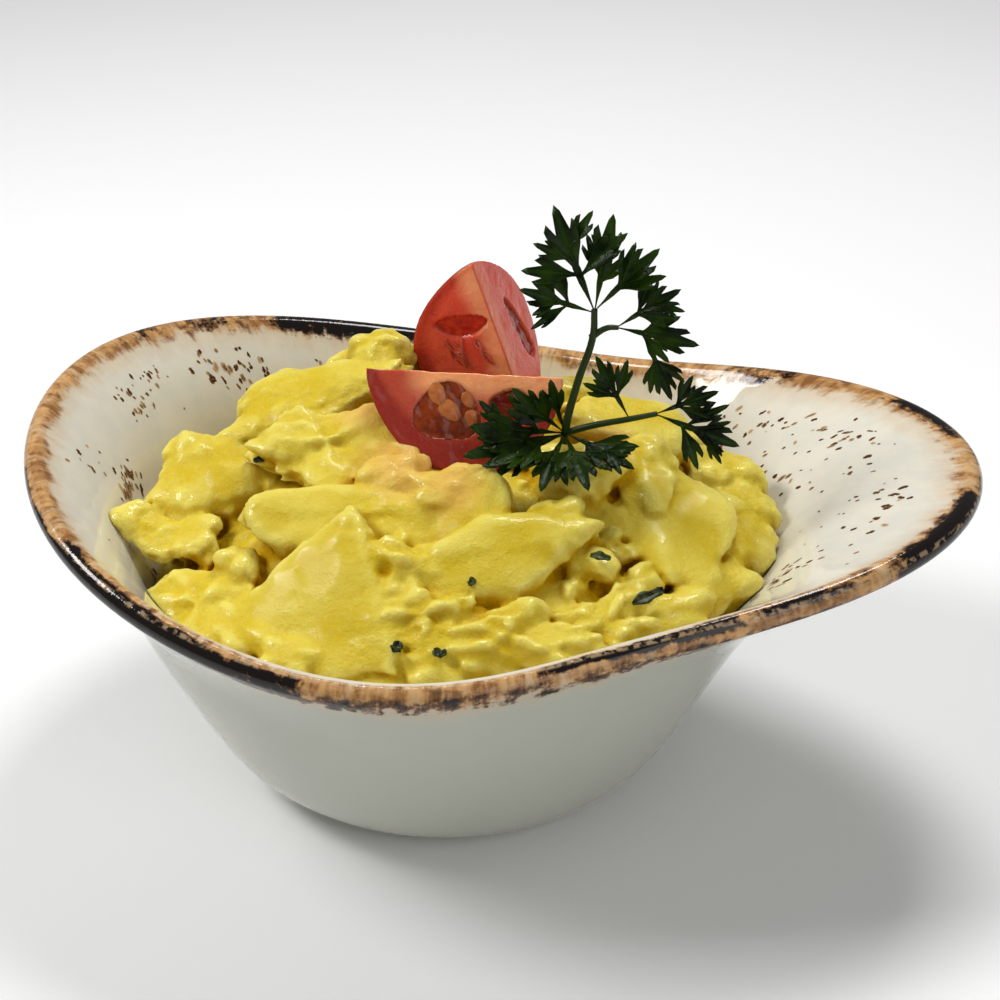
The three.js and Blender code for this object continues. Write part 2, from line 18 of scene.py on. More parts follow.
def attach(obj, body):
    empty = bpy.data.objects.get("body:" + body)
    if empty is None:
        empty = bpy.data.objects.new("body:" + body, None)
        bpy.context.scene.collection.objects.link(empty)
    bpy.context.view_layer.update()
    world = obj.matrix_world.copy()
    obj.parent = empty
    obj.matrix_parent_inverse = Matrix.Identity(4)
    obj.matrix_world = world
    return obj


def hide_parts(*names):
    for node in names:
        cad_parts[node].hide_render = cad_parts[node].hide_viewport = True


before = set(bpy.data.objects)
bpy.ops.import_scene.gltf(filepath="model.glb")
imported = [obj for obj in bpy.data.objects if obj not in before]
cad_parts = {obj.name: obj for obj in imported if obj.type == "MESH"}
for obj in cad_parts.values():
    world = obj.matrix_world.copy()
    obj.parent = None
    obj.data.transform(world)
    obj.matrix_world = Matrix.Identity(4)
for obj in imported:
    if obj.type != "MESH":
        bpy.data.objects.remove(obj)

bl_info = {
    "name": "Bowl of potato salad",
    "version": (1, 0, 0),
    "blender": (4, 5, 0),
    "location": "View3D > Sidebar > Potato salad",
    "description": "Builds a lipped bowl heaped with potato salad, tomato wedges and parsley",
    "category": "Add Mesh",
}

MM = 0.001
TOUCHING = 1e-6
BODY_AXIS_X = -11.15
GAP = 0.15  # between the salad and the wall

# Camera and lights. A light's power is a share of the table settings' window light.
CAMERA_EYE = (60.4, -383.2, 279.1)
CAMERA_TARGET = (-0.58, 1.67, 54.1)
LIGHTS = (  # name, place in metres, size and share of the power
    ("window", (-0.45, -0.08, 0.5), 0.2, 0.85),
    ("overhead", (0.05, 0.3, 0.65), 0.22, 0.95),
    ("fill", (0.45, -0.55, 0.4), 0.6, 0.6),
)

# Bowl
RIM_RADIUS_WAVES = (77.2, 4.7, 10.5, 5.4, 2.3, 1.1)
RIM_HEIGHT_WAVES = (61.2, -1.8, 7.4, 0.2)
WALL = 4.6
FOOT_RADIUS = 35.9
FOOT_RING = {"inner": 28.5, "outer": 34.6, "recess": 1.4}
FOOT_EDGE = 0.9
FLOOR = 5.4
FLOOR_RADIUS = 26.9
SHOULDER = (56.9, 29.5)
BODY_HANDLES = ((9.6, 6.25), (10.3, 20.9))
BOWL_STEPS = (14, 34, 14)  # up the body, up the lip and over the edge
ROUND_BODY = (
    (FOOT_RADIUS, FOOT_EDGE),
    (FOOT_RADIUS + BODY_HANDLES[0][0], BODY_HANDLES[0][1]),
    (SHOULDER[0] - BODY_HANDLES[1][0], SHOULDER[1] - BODY_HANDLES[1][1]),
    SHOULDER,
)
FLARE = {"narrowest": 69, "widest": 101, "steep": 66, "flat": 14, "early": 0.55, "reach": 0.45}

# The brown band of the rim: width inside and outside the crest at some angles round the bowl.
BAND_INSIDE = (
    (-180, 5.0), (-145, 4.6), (-125, 3.2), (-108, 1.5), (-95, 0.9), (-70, 0.8), (-50, 1.3), (-32, 2.8),
    (-15, 5.0), (0, 6.5), (25, 7.0), (60, 5.0), (95, 4.5), (120, 6.0), (150, 6.0), (180, 5.0),
)
BAND_OUTSIDE = (
    (-180, 3.6), (-140, 3.6), (-100, 4.6), (-60, 4.4), (-20, 3.8), (0, 3.2), (60, 3.4), (180, 3.6),
)
BAND_NEAR = 16  # no band further than this from the crest
RIM_GIRTH = 78  # radius at which patterns are laid round the rim
# Burnt arcs of the band: from and to in degrees, where across the band (-1 outer edge, 0 crest, 1 inner
# edge), how wide there, and how strong.
BURNT_ARCS = (
    (-176, -156, -0.85, 0.55, 0.8), (-160, -140, -0.7, 0.8, 1.0), (-142, -116, -0.35, 1.0, 0.95),
    (-120, -100, -0.5, 0.75, 0.75), (-103, -60, -0.85, 0.5, 0.3),
    (-66, -38, 0.3, 0.6, 1.0), (-40, -22, 0.35, 0.4, 0.5), (-60, -26, -0.85, 0.45, 0.3),
    (-21, -4, -0.2, 1.0, 1.0), (-8, 8, -0.3, 0.6, 0.9),
    (8, 20, 0.1, 0.7, 0.8), (34, 44, 0.4, 0.7, 0.5), (62, 84, -0.6, 0.4, 0.5), (103, 131, 0.3, 0.8, 0.9),
    (138, 146, 0.3, 0.7, 0.5), (151, 158, 0.2, 0.6, 0.45), (172, 190, -0.85, 0.5, 0.6),
)
# Patches of speckles in the glaze: angle and distance below the crest, how far they spread in degrees and
# millimetres, their number and the length of the longest.
SPECKLE_PATCHES = (
    (-175, 25, 8, 5, 42, 3.4), (-170, 14, 7, 5, 10, 1.8), (167, 15, 6, 6, 26, 1.8), (160, 13, 4, 4, 12, 1.8),
    (143, 15, 9, 6, 44, 2.4), (-164, 39, 5, 7, 18, 2.8), (120, 15, 12, 6, 12, 1.8), (32, 18, 12, 6, 26, 2.6),
    (16, 19, 10, 8, 32, 2.4), (24, 32, 12, 6, 26, 3.0), (-4, 17, 8, 5, 18, 2.6), (-18, 28, 8, 8, 22, 2.8),
    (66, 22, 24, 9, 30, 2.4), (0, 26, 180, 16, 150, 1.5),
)
SPECKLES_FROM = 7  # nearest to the crest
SPECKLE_LIFT = 0.03

# Salad
FILL = {"mean": 43, "front": 4, "right": 3}
HEAP = {"height": 68, "fullness": 0.9}
CORE_SIDES = 96
SALAD_GRAIN = 0.56  # size of the heap's faces
MOST_TRIANGLES = 195000
CRUMBS_WITHIN = 58
OPEN_REACHES = (7.0, 2.4)  # how far a crease and a seam are looked for
HIDDEN_BELOW = 36
# Where the tomato has stained the potato: middle and reach.
STAINS = (((-4, -15, 68), 10), ((6, -20, 68), 7), ((-14, -3, 73), 6), ((30, 2, 68), 6))

# The pieces that show: middle, size (length, width, thickness), yaw, pitch and roll in degrees. flat says
# how slice-like a piece is, and wobble how uneven its outline is.
SALAD_PIECES = (
    # left
    dict(at=(-49, -23, 55.5), size=(21, 10, 4), yaw=-12, pitch=-4, roll=16, wobble=1.4, curl=1.8),
    dict(at=(-40.5, -26, 54.5), size=(8, 5, 3.5), yaw=-65, pitch=-30, roll=10),
    dict(at=(-44, -8, 58), size=(24, 20, 12), yaw=35, pitch=12, roll=18, corners=4),
    dict(at=(-32, -33.5, 56), size=(9.5, 7, 7), yaw=-40, pitch=-10, flat=2.2),
    dict(at=(-37, -40, 49), size=(25, 17, 9), yaw=-35, roll=22, mush=0.5),
    dict(at=(-28, -47, 50), size=(15, 10, 8), yaw=-25, roll=20),
    # back left and top
    dict(at=(-28, 7, 68), size=(35, 18, 9), yaw=28, pitch=16, roll=14, corners=4),
    dict(at=(-16.5, 20, 73), size=(13, 12, 11), yaw=30, pitch=15, roll=5, flat=2.4),
    dict(at=(-20, -10, 68), size=(25, 17, 7), yaw=-8, pitch=-4, roll=24, wobble=1.7, mush=0.6),
    dict(at=(-9, -8, 69), size=(14, 12, 7), yaw=-20, pitch=-10, roll=18),
    dict(at=(-6, -17, 67), size=(13, 11, 9), yaw=10, roll=20, flat=2.6),
    dict(at=(3, -21, 67), size=(13, 9, 8), yaw=-5, roll=25, flat=2.6),
    # middle
    dict(at=(-13, -27, 63), size=(37, 15, 8), yaw=4, roll=30, wobble=0.6),
    dict(at=(-13, -44, 55), size=(28, 25, 8), yaw=-38, pitch=-14, roll=38, wobble=0.8, flat=4.5, corners=3),
    dict(at=(1, -38, 59), size=(17, 14, 9), yaw=20, roll=32, mush=1),
    dict(at=(9, -23.3, 65.5), size=(15, 18, 7), yaw=-10, pitch=6, roll=38, flat=5, wobble=0.5),
    dict(at=(16, -32, 61), size=(31, 16, 10), yaw=27, pitch=10, roll=34, flat=4.5, wobble=0.7, corners=4),
    dict(at=(25, -24, 65), size=(11, 9, 7), yaw=10, roll=25),
    # front
    dict(at=(-18, -53, 50), size=(13, 9, 7), yaw=-10, roll=25, flat=2.6),
    dict(at=(8, -53, 50), size=(14, 9, 8), yaw=5, roll=22, flat=2.6),
    dict(at=(4, -46, 55), size=(17, 12, 9), yaw=10, roll=30, mush=1),
    dict(at=(20, -47, 53), size=(28, 13, 9), yaw=9, roll=28, wobble=1.3, mush=1),
    dict(at=(36, -40, 53), size=(20, 12, 8), yaw=24, roll=24, wobble=1.3, mush=1),
    dict(at=(46, -34, 52), size=(19, 10, 8), yaw=38, pitch=4, roll=20),
    dict(at=(32, -29, 60), size=(12, 6, 5.5), yaw=-12, pitch=4, roll=10, flat=2.4),
    dict(at=(40, -31, 56), size=(14, 7, 7), yaw=62, pitch=10, flat=2.4),
    # right
    dict(at=(45, -12, 59), size=(36, 19, 8), yaw=-62, pitch=-22, roll=-4, flat=4.5, wobble=1.2, corners=4),
    dict(at=(38, -4, 65), size=(18, 14, 8), yaw=-40, pitch=-12, roll=16, wobble=1.5),
    dict(at=(54, -20, 52), size=(13, 16, 8), yaw=-40, pitch=-16),
    dict(at=(58, -6, 52), size=(12, 15, 8), yaw=-20, pitch=-18),
    dict(at=(57, 5, 54), size=(13, 12, 8), yaw=10, pitch=-16),
    dict(at=(52, 13, 57), size=(15, 13, 8), yaw=30, pitch=-12),
    # behind the garnish
    dict(at=(34, 14, 64), size=(24, 20, 9), yaw=-12, pitch=-6, roll=-4, flat=4.5, wobble=0.5),
    dict(at=(-17, 27, 66), size=(22, 17, 12), yaw=20, roll=-30),
    dict(at=(27, -9, 67), size=(17, 13, 8), yaw=15, roll=18),
    dict(at=(16, 29, 62), size=(25, 19, 9), yaw=12, roll=-22),
    dict(at=(-8, 37, 60), size=(24, 17, 9), yaw=165, roll=26),
    dict(at=(-33, 25, 58.5), size=(22, 16, 9), yaw=40, pitch=8, roll=-20),
    dict(at=(-48, 10, 52.5), size=(16, 13, 8), yaw=75, roll=-20),
    dict(at=(36, 33, 53), size=(22, 16, 8), yaw=-28, roll=-24),
    dict(at=(8, 48, 51), size=(24, 14, 8), yaw=5, roll=-30),
    dict(at=(-24, 44, 50.5), size=(18, 13, 8), yaw=22, roll=-28),
)

HERB_SCRAPS = (
    dict(at=(-41, 0, 65.5), size=(6, 2.4), yaw=-40, tilt=20),
    dict(at=(-33, -12, 66.5), size=(2.4, 1.4), yaw=30, tilt=0),
    dict(at=(34, -32, 63.5), size=(3.6, 1.4), yaw=-8, tilt=0),
    dict(at=(43, -36, 58.5), size=(6.5, 2), yaw=40, tilt=10),
    dict(at=(1, -54, 55), size=(2.8, 1.8), yaw=80, tilt=0),
    dict(at=(9, -54, 54.8), size=(2.2, 1.5), yaw=-20, tilt=0),
    dict(at=(12, -41, 61.5), size=(1.8, 1.2), yaw=70, tilt=0),
)

# Tomato
WEDGE_GRAIN = 0.34
CUT_SKIN = 0.45  # points nearer to a cut plane than this belong to the cut
# Colours of a wedge, and how thick its outer wall is and from where its core shows.
TOMATO_COLOURS = {
    "skin": (0.28, 0.018, 0.010),
    "hollow": (0.26, 0.022, 0.008),
    "front": {
        "core": (0.98, 0.42, 0.17), "outer": (0.33, 0.026, 0.013), "flesh": (0.52, 0.075, 0.035),
        "pink": (0.66, 0.16, 0.09), "wall": 5.0, "core_from": 9.0,
    },
    # The back wedge's colours are a lit copy of the front's: lighter all over, with a brighter orange core
    # along its ridge, as painted light.
    "back": {
        "core": (1.0, 0.45, 0.22), "outer": (0.56, 0.05, 0.028), "flesh": (0.80, 0.11, 0.06),
        "pink": (0.72, 0.10, 0.06), "wall": 1.4, "core_from": 0.0,
    },
}
JELLY_COLOURS = {  # by the material's name: lighter and deeper
    "olive seed jelly": ((0.30, 0.045, 0.008), (0.15, 0.020, 0.004)),
    "red seed jelly": ((0.40, 0.035, 0.014), (0.20, 0.012, 0.006)),
    "bright seed jelly": ((0.72, 0.07, 0.035), (0.50, 0.030, 0.015)),
    "tomato seeds": ((0.58, 0.19, 0.055), (0.40, 0.11, 0.028)),
    "strings of jelly": ((0.66, 0.16, 0.10), (0.42, 0.06, 0.03)),
}
TOMATO = {"radius": 19.0, "pointed": 19.5, "blunt": 17.5}
WEDGES = {
    "front": {
        "tip": 0.64, "pole": (-13.8, -4.5, 83.8), "core": (0.985, 0.145, -0.05), "away": (0, 0.86, -0.5),
        "pockets": {
            "left": dict(face="z", along=15.6, out=7.6, turn=0, length=12, width=10.5, depth=6, sunk=0.1,
                         jelly="olive seed jelly"),
            "right": dict(face="z", along=27.5, out=6, turn=-20, length=7.5, width=6.5, depth=5, sunk=1.2,
                          jelly="red seed jelly"),
        },
    },
    "back": {
        "tip": 0.76, "pole": (2.5, 18.5, 96), "core": (0.32, 0.02, -0.95), "away": (0.1, 0.99, 0.07),
        "pockets": {
            "left": dict(face="z", along=12.5, out=6.8, turn=86, length=10.5, width=4.6, depth=4, sunk=0.9,
                         jelly="bright seed jelly"),
            "right": dict(face="x", along=20.5, out=11.2, turn=-17, length=16, width=4.2, depth=4, sunk=0.5,
                          jelly="red seed jelly"),
        },
    },
}
# Seeds in the front wedge's left pocket: out, along, turn in degrees, length and width.
SEEDS = (
    (4.2, 13.6, -62, 5.0, 3.4), (7.2, 16.2, -40, 5.2, 3.5), (5.0, 19.4, -60, 3.6, 2.4),
    (8.6, 20.2, -75, 4.2, 2.4),
)
# Strings of jelly on the back wedge: out and along of both ends, and their radius.
STRINGS = (
    (11.0, 14.5, 8.6, 20.5, 0.3), (9.6, 15.2, 8.4, 21.5, 0.35), (8.0, 15.0, 8.0, 22.0, 0.3),
    (9.8, 17.5, 8.2, 18.5, 0.25), (5.2, 15.8, 3.4, 21.5, 0.35), (4.6, 16.0, 5.2, 19.0, 0.3),
    (4.6, 18.8, 2.6, 21.8, 0.3), (10.6, 16.0, 9.8, 21.0, 0.2),
)

# Parsley
FRONT = (-0.14, -0.87, 0.48)  # the way most leaflets face
# Edge of a lobe: share of the half width, and how far along the lobe it reaches there.
LOBE_TEETH = (
    (-1, 0.48), (-0.9, 0.72), (-0.68, 0.8), (-0.42, 0.62), (-0.2, 0.9), (0, 1), (0.2, 0.91), (0.42, 0.64),
    (0.7, 0.78), (0.9, 0.7), (1, 0.46),
)
STALKS = (
    dict(radius=0.85, points=((24, -3, 64), (24, -6, 74), (26, -5, 84), (28.5, -3, 93), (28.6, -2.5, 98))),
    dict(radius=0.65, points=((28, -3, 92.5), (31, -2.5, 94.5), (33, -2, 94.5))),
    dict(radius=0.7, points=((24, -6, 74), (29, -7, 76.5), (36, -7, 78.5), (41, -6, 79.5))),
)
LEAFLETS = (
    dict(base=(28.6, -2.5, 97.4), tip=(15, -4.5, 102), pairs=2, spread=46),
    dict(base=(28.6, -2.5, 97.6), tip=(20.5, -1, 117), pairs=2, spread=56),
    dict(base=(28.6, -2.5, 97.7), tip=(31.5, 0, 116), pairs=2, spread=38, reach=0.4),
    dict(base=(28.6, -2.5, 97.8), tip=(40, -0.5, 110), pairs=1, spread=30),
    dict(base=(32.6, -2, 94.5), tip=(44, -2, 103), pairs=2, spread=40),
    dict(base=(32.6, -2, 94.5), tip=(48, -4, 93), pairs=1, spread=34),
    dict(base=(38, -2.6, 93.6), tip=(43.5, -5, 82), pairs=1, spread=28),
    dict(base=(36, -7, 78.5), tip=(29, -3, 89), pairs=1, spread=42),
    dict(base=(40.6, -6, 79.4), tip=(52, -4, 84), pairs=1, spread=38),
    dict(base=(40.6, -6, 79.4), tip=(56.5, -7, 74.5), pairs=2, spread=46),
    dict(base=(24, -6.6, 74.4), tip=(15, -12, 85.5), pairs=1, spread=26),
    dict(base=(24, -6.6, 74.4), tip=(21.5, -9, 86.5), pairs=0),
    dict(base=(24, -6.6, 74.4), tip=(8, -17, 79.8), pairs=2, spread=38),
    dict(base=(24, -6.6, 74.2), tip=(7.5, -20.5, 75.6), pairs=1, spread=24),
    dict(base=(24, -6.6, 74.2), tip=(12, -23.5, 75), normal=(-0.1, -0.6, 0.8), pairs=1, spread=24),
    dict(base=(24, -6.6, 74.2), tip=(22, -24, 72), normal=(0, -0.4, 0.9), pairs=1, spread=26),
    dict(base=(24, -6.6, 74.2), tip=(30.5, -22.5, 72), normal=(0, -0.4, 0.9), pairs=1, spread=32),
    dict(base=(24, -6.6, 74.4), tip=(38, -16, 73.4), normal=(0.1, -0.5, 0.85), pairs=2, spread=32),
)


# ---------------------------------------------------------------- small helpers
def metres(x, y, z):
    return Vector(((x + BODY_AXIS_X) * MM, y * MM, z * MM))


def link_new(name, mesh):
    piece = bpy.data.objects.new(name, mesh)
    bpy.context.scene.collection.objects.link(piece)
    return piece


def mesh_from(name, bm):
    mesh = bpy.data.meshes.new(name)
    bm.to_mesh(mesh)
    bm.free()
    return mesh


def closed(name, bm, merge=False):
    """The mesh of bm with its faces turned outward, and with doubled points merged where asked."""
    if merge:
        bmesh.ops.remove_doubles(bm, verts=bm.verts, dist=TOUCHING)
    bmesh.ops.recalc_face_normals(bm, faces=bm.faces)
    return mesh_from(name, bm)


def settled(piece):
    """The mesh of a piece with its modifiers applied. The piece itself goes."""
    graph = bpy.context.evaluated_depsgraph_get()
    mesh = bpy.data.meshes.new_from_object(piece.evaluated_get(graph))
    bpy.data.objects.remove(piece)
    return mesh


def dressed(name, mesh, finish, nodes=()):
    """Puts a finished mesh in the scene, on the root body, for the nodes that it stands for."""
    piece = link_new(name, mesh)
    mesh.materials.clear()
    mesh.materials.append(finish)
    mesh.polygons.foreach_set("use_smooth", [True] * len(mesh.polygons))
    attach(piece, "root")
    if nodes:
        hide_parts(*nodes)
    return piece


def points_of(mesh, what="co"):
    flat = np.empty(len(mesh.vertices) * 3)
    mesh.vertices.foreach_get(what, flat)
    return flat.reshape(-1, 3)


def normals_of(mesh):
    return points_of(mesh, "normal")


def set_points(mesh, points):
    mesh.vertices.foreach_set("co", points.astype(np.float32).ravel())
    mesh.update()


def store(mesh, name, values):
    attribute = mesh.attributes.new(name, "FLOAT", "POINT")
    attribute.data.foreach_set("value", np.asarray(values, np.float32))


def store_colour(mesh, name, colours):
    attribute = mesh.attributes.new(name, "FLOAT_COLOR", "POINT")
    rgba = np.ones((len(colours), 4), np.float32)
    rgba[:, :3] = colours
    attribute.data.foreach_set("color", rgba.ravel())


def relaxed(points, edges, rounds):
    """The points after that many rounds of moving each one to the mean of its neighbours."""
    first, second = edges[:, 0], edges[:, 1]
    count = np.bincount(edges.ravel(), minlength=len(points))
    count = np.maximum(count, 1)
    for _ in range(rounds):
        columns = []
        for k in range(points.shape[1]):
            total = np.bincount(first, points[second, k], len(points))
            total += np.bincount(second, points[first, k], len(points))
            columns.append(total / count)
        points = np.stack(columns, 1)
    return points


def edges_of(mesh):
    flat = np.empty(len(mesh.edges) * 2, np.int64)
    mesh.edges.foreach_get("vertices", flat)
    return flat.reshape(-1, 2)


def smoothstep(low, high, values):
    share = np.clip((values - low) / (high - low), 0, 1)
    return share * share * (3 - 2 * share)


def ease(low, high, value):
    """smoothstep of one number."""
    share = min(1.0, max(0.0, (value - low) / (high - low)))
    return share * share * (3 - 2 * share)


def rough_field(points, size, seed):
    """Smooth random values between about -1 and 1, with bumps of that size in the points' unit."""
    shift = Vector((seed * 7.31, seed * 3.17, seed * 5.77))
    return np.array([noise.noise(Vector(p) / size + shift) for p in points.tolist()])


def evened(name, bm, voxel):
    """One closed surface round everything in bm, of even small faces."""
    shell = link_new(name, mesh_from(name, bm))
    remesh = shell.modifiers.new("even surface", "REMESH")
    remesh.mode = "VOXEL"
    remesh.voxel_size = voxel
    remesh.use_smooth_shade = True
    return settled(shell)


def thinned(name, mesh, most_triangles):
    """The mesh with its flattest places simplified until it has at most that many triangles."""
    now = sum(len(p.vertices) - 2 for p in mesh.polygons)
    if now <= most_triangles:
        return mesh
    shell = link_new(name, mesh)
    decimate = shell.modifiers.new("fewer faces", "DECIMATE")
    decimate.ratio = most_triangles / now
    return settled(shell)


# ---------------------------------------------------------------- node helpers
class Finish:
    """A material and short ways to add its nodes."""

    def __init__(self, name):
        self.material = bpy.data.materials.new(name)
        self.material.use_nodes = True
        self.tree = self.material.node_tree
        self.shader = self.tree.nodes["Principled BSDF"]

    def node(self, kind, inputs=None, **settings):
        made = self.tree.nodes.new(kind)
        for key, value in settings.items():
            setattr(made, key, value)
        for key, value in (inputs or {}).items():
            self.put(made.inputs[key], value)
        return made

    def put(self, socket, value):
        if isinstance(value, bpy.types.NodeSocket):
            self.tree.links.new(value, socket)
        else:
            socket.default_value = value

    def set(self, **values):
        for key, value in values.items():
            self.put(self.shader.inputs[key.replace("_", " ")], value)

    def sum(self, operation, *values):
        made = self.node("ShaderNodeMath", operation=operation)
        for i, value in enumerate(values):
            self.put(made.inputs[i], value)
        return made.outputs[0]

    def times(self, first, second):
        return self.sum("MULTIPLY", first, second)

    def plus(self, first, second):
        return self.sum("ADD", first, second)

    def minus(self, first, second):
        return self.sum("SUBTRACT", first, second)

    def vector(self, operation, *values):
        made = self.node("ShaderNodeVectorMath", operation=operation)
        for i, value in enumerate(values):
            if operation == "SCALE" and i == 1:
                self.put(made.inputs["Scale"], value)
            else:
                self.put(made.inputs[i], value)
        return made.outputs[0]

    def attribute(self, name, output="Fac"):
        return self.node("ShaderNodeAttribute", attribute_name=name).outputs[output]

    def object_mm(self):
        coordinates = self.node("ShaderNodeTexCoord").outputs["Object"]
        centred = self.vector("SUBTRACT", coordinates, (BODY_AXIS_X * MM, 0, 0))
        return self.vector("SCALE", centred, 1 / MM)

    def noise(self, vector, size, detail=3.0, roughness=0.5):
        inputs = {"Vector": vector, "Scale": 1 / size, "Detail": detail, "Roughness": roughness}
        return self.node("ShaderNodeTexNoise", inputs).outputs["Fac"]

    def step(self, value, low, high, to_low=0.0, to_high=1.0):
        inputs = {"Value": value, "From Min": low, "From Max": high, "To Min": to_low, "To Max": to_high}
        return self.node("ShaderNodeMapRange", inputs, interpolation_type="SMOOTHSTEP").outputs["Result"]

    def mix(self, factor, first, second, blend="MIX"):
        """First and second may be sockets or colours."""
        made = self.node("ShaderNodeMix", data_type="RGBA", blend_type=blend, clamp_factor=True)
        self.put(made.inputs["Factor"], factor)
        for socket, value in ((6, first), (7, second)):
            self.put(made.inputs[socket], value if isinstance(value, bpy.types.NodeSocket) else (*value, 1))
        return made.outputs[2]

    def bump(self, height, distance, strength=1.0, normal=None):
        inputs = {"Height": height, "Distance": distance, "Strength": strength}
        if normal is not None:
            inputs["Normal"] = normal
        return self.node("ShaderNodeBump", inputs).outputs["Normal"]


# ---------------------------------------------------------------- bowl
def waves(amplitudes, angle):
    return sum(amplitude * math.cos(k * angle) for k, amplitude in enumerate(amplitudes))


def bezier(points, t):
    """Point and unit tangent of a cubic curve."""
    a, b, c, d = (np.array(p, float) for p in points)
    s = 1 - t
    point = s**3 * a + 3 * s * s * t * b + 3 * s * t * t * c + t**3 * d
    tangent = 3 * (s * s * (b - a) + 2 * s * t * (c - b) + t * t * (d - c))
    return point, tangent / np.linalg.norm(tangent)


def lip_curve(angle):
    """The lip's outside at one angle, with the middle of its rounded edge and the edge's directions."""
    rim_radius = waves(RIM_RADIUS_WAVES, angle)
    rim_height = waves(RIM_HEIGHT_WAVES, angle)
    flare = (rim_radius - FLARE["narrowest"]) / (FLARE["widest"] - FLARE["narrowest"])
    flare = min(1, max(0, flare)) ** FLARE["early"]
    slope = math.radians(FLARE["steep"] + (FLARE["flat"] - FLARE["steep"]) * flare)
    along = np.array((math.cos(slope), math.sin(slope)))
    outward = np.array((math.sin(slope), -math.cos(slope)))
    edge = np.array((rim_radius - WALL / 2, rim_height))
    start = np.array(SHOULDER, float)
    end = edge + outward * WALL / 2
    handle = FLARE["reach"] * np.linalg.norm(end - start)
    rise = bezier(ROUND_BODY, 1)[1]
    return (start, start + rise * handle, end - along * handle, end), edge, along, outward


def wall_point(lip, part, inset):
    point, tangent = bezier(ROUND_BODY, part) if part < 1 else bezier(lip[0], part - 1)
    return point[0] - inset * tangent[1], point[1] + inset * tangent[0]


def inside_of_wall(lip, part, clearance):
    radius, height = wall_point(lip, part, WALL + clearance)
    return radius, max(height, FLOOR + clearance)


def bowl_section(angle, body_steps, lip_steps, edge_steps):
    """The wall's section at one angle as (radius, height), and the number of the point on the crest."""
    lip = lip_curve(angle)
    inner, outer, recess = FOOT_RING["inner"], FOOT_RING["outer"], FOOT_RING["recess"]
    points = [(0, recess), (inner - 3, recess), (inner - recess, recess), (inner - 0.3, 0.2),
              (inner + 0.3, 0), (outer - 0.3, 0), (outer + 0.4, 0.15)]
    points += [wall_point(lip, j / body_steps, 0) for j in range(body_steps)]
    points += [wall_point(lip, 1 + j / lip_steps, 0) for j in range(lip_steps)]
    crest = len(points) + edge_steps // 2
    for j in range(edge_steps + 1):
        turn = math.pi * j / edge_steps
        across, forward = WALL / 2 * math.cos(turn), WALL / 2 * math.sin(turn)
        points.append(tuple(lip[1] + across * lip[3] + forward * lip[2]))
    points += [inside_of_wall(lip, 1 + j / lip_steps, 0) for j in range(lip_steps - 1, -1, -1)]
    points += [inside_of_wall(lip, j / body_steps, 0) for j in range(body_steps - 1, 0, -1)]
    points += [(FLOOR_RADIUS, FLOOR), (0, FLOOR)]
    return np.array(points), crest


def spun_blank(stations, sides):
    """A tube turned round +Z in which a vertex's height is the number of its station."""
    bm = bmesh.new()
    start = [bm.verts.new((1, 0, j)) for j in range(stations)]
    edges = [bm.edges.new(pair) for pair in zip(start, start[1:])]
    bmesh.ops.spin(bm, geom=start + edges, cent=(0, 0, 0), axis=(0, 0, 1), angle=2 * math.pi, steps=sides,
                   use_merge=True)
    return bm


def burnt(angle, across):
    """How burnt the rim band is, from 0 to 1."""
    most = 0.0
    degrees = math.degrees(angle)
    for start, end, middle, width, strength in BURNT_ARCS:
        half = (end - start) / 2
        away = abs((degrees - (start + half) + 180) % 360 - 180)
        if away < half + 2:
            around = 1 - ease(half - 3, half + 2, away)
            beside = 1 - ease(width * 0.55, width * 1.1, abs(across - middle))
            most = max(most, strength * around * beside)
    return most


def build_bowl(settings):
    """The glazed bowl, with how far each point is from the crest and how burnt it is."""
    sides = settings.sides
    wall = Wall(sides)
    bm = spun_blank(len(wall.sections[0]), sides)
    rim_layer = bm.verts.layers.float.new("rim_mm")
    across_layer = bm.verts.layers.float.new("across_band")
    burnt_layer = bm.verts.layers.float.new("burnt")
    band_in, band_out = tuple(zip(*BAND_INSIDE)), tuple(zip(*BAND_OUTSIDE))
    for vertex in bm.verts:
        angle = math.atan2(vertex.co.y, vertex.co.x)
        i = round(angle * sides / (2 * math.pi)) % sides
        j = round(vertex.co.z)
        radius, height = wall.sections[i][j]
        angle = 2 * math.pi * i / sides
        vertex.co = metres(radius * math.cos(angle), radius * math.sin(angle), height)
        from_crest = wall.lengths[i][j]
        degrees = (math.degrees(angle) + 180) % 360 - 180
        across = from_crest / np.interp(degrees, *(band_in if from_crest > 0 else band_out))
        vertex[rim_layer] = from_crest
        vertex[across_layer] = across
        vertex[burnt_layer] = burnt(angle, across) if abs(from_crest) < BAND_NEAR else 0
    return closed("glazed_bowl", bm, merge=True)


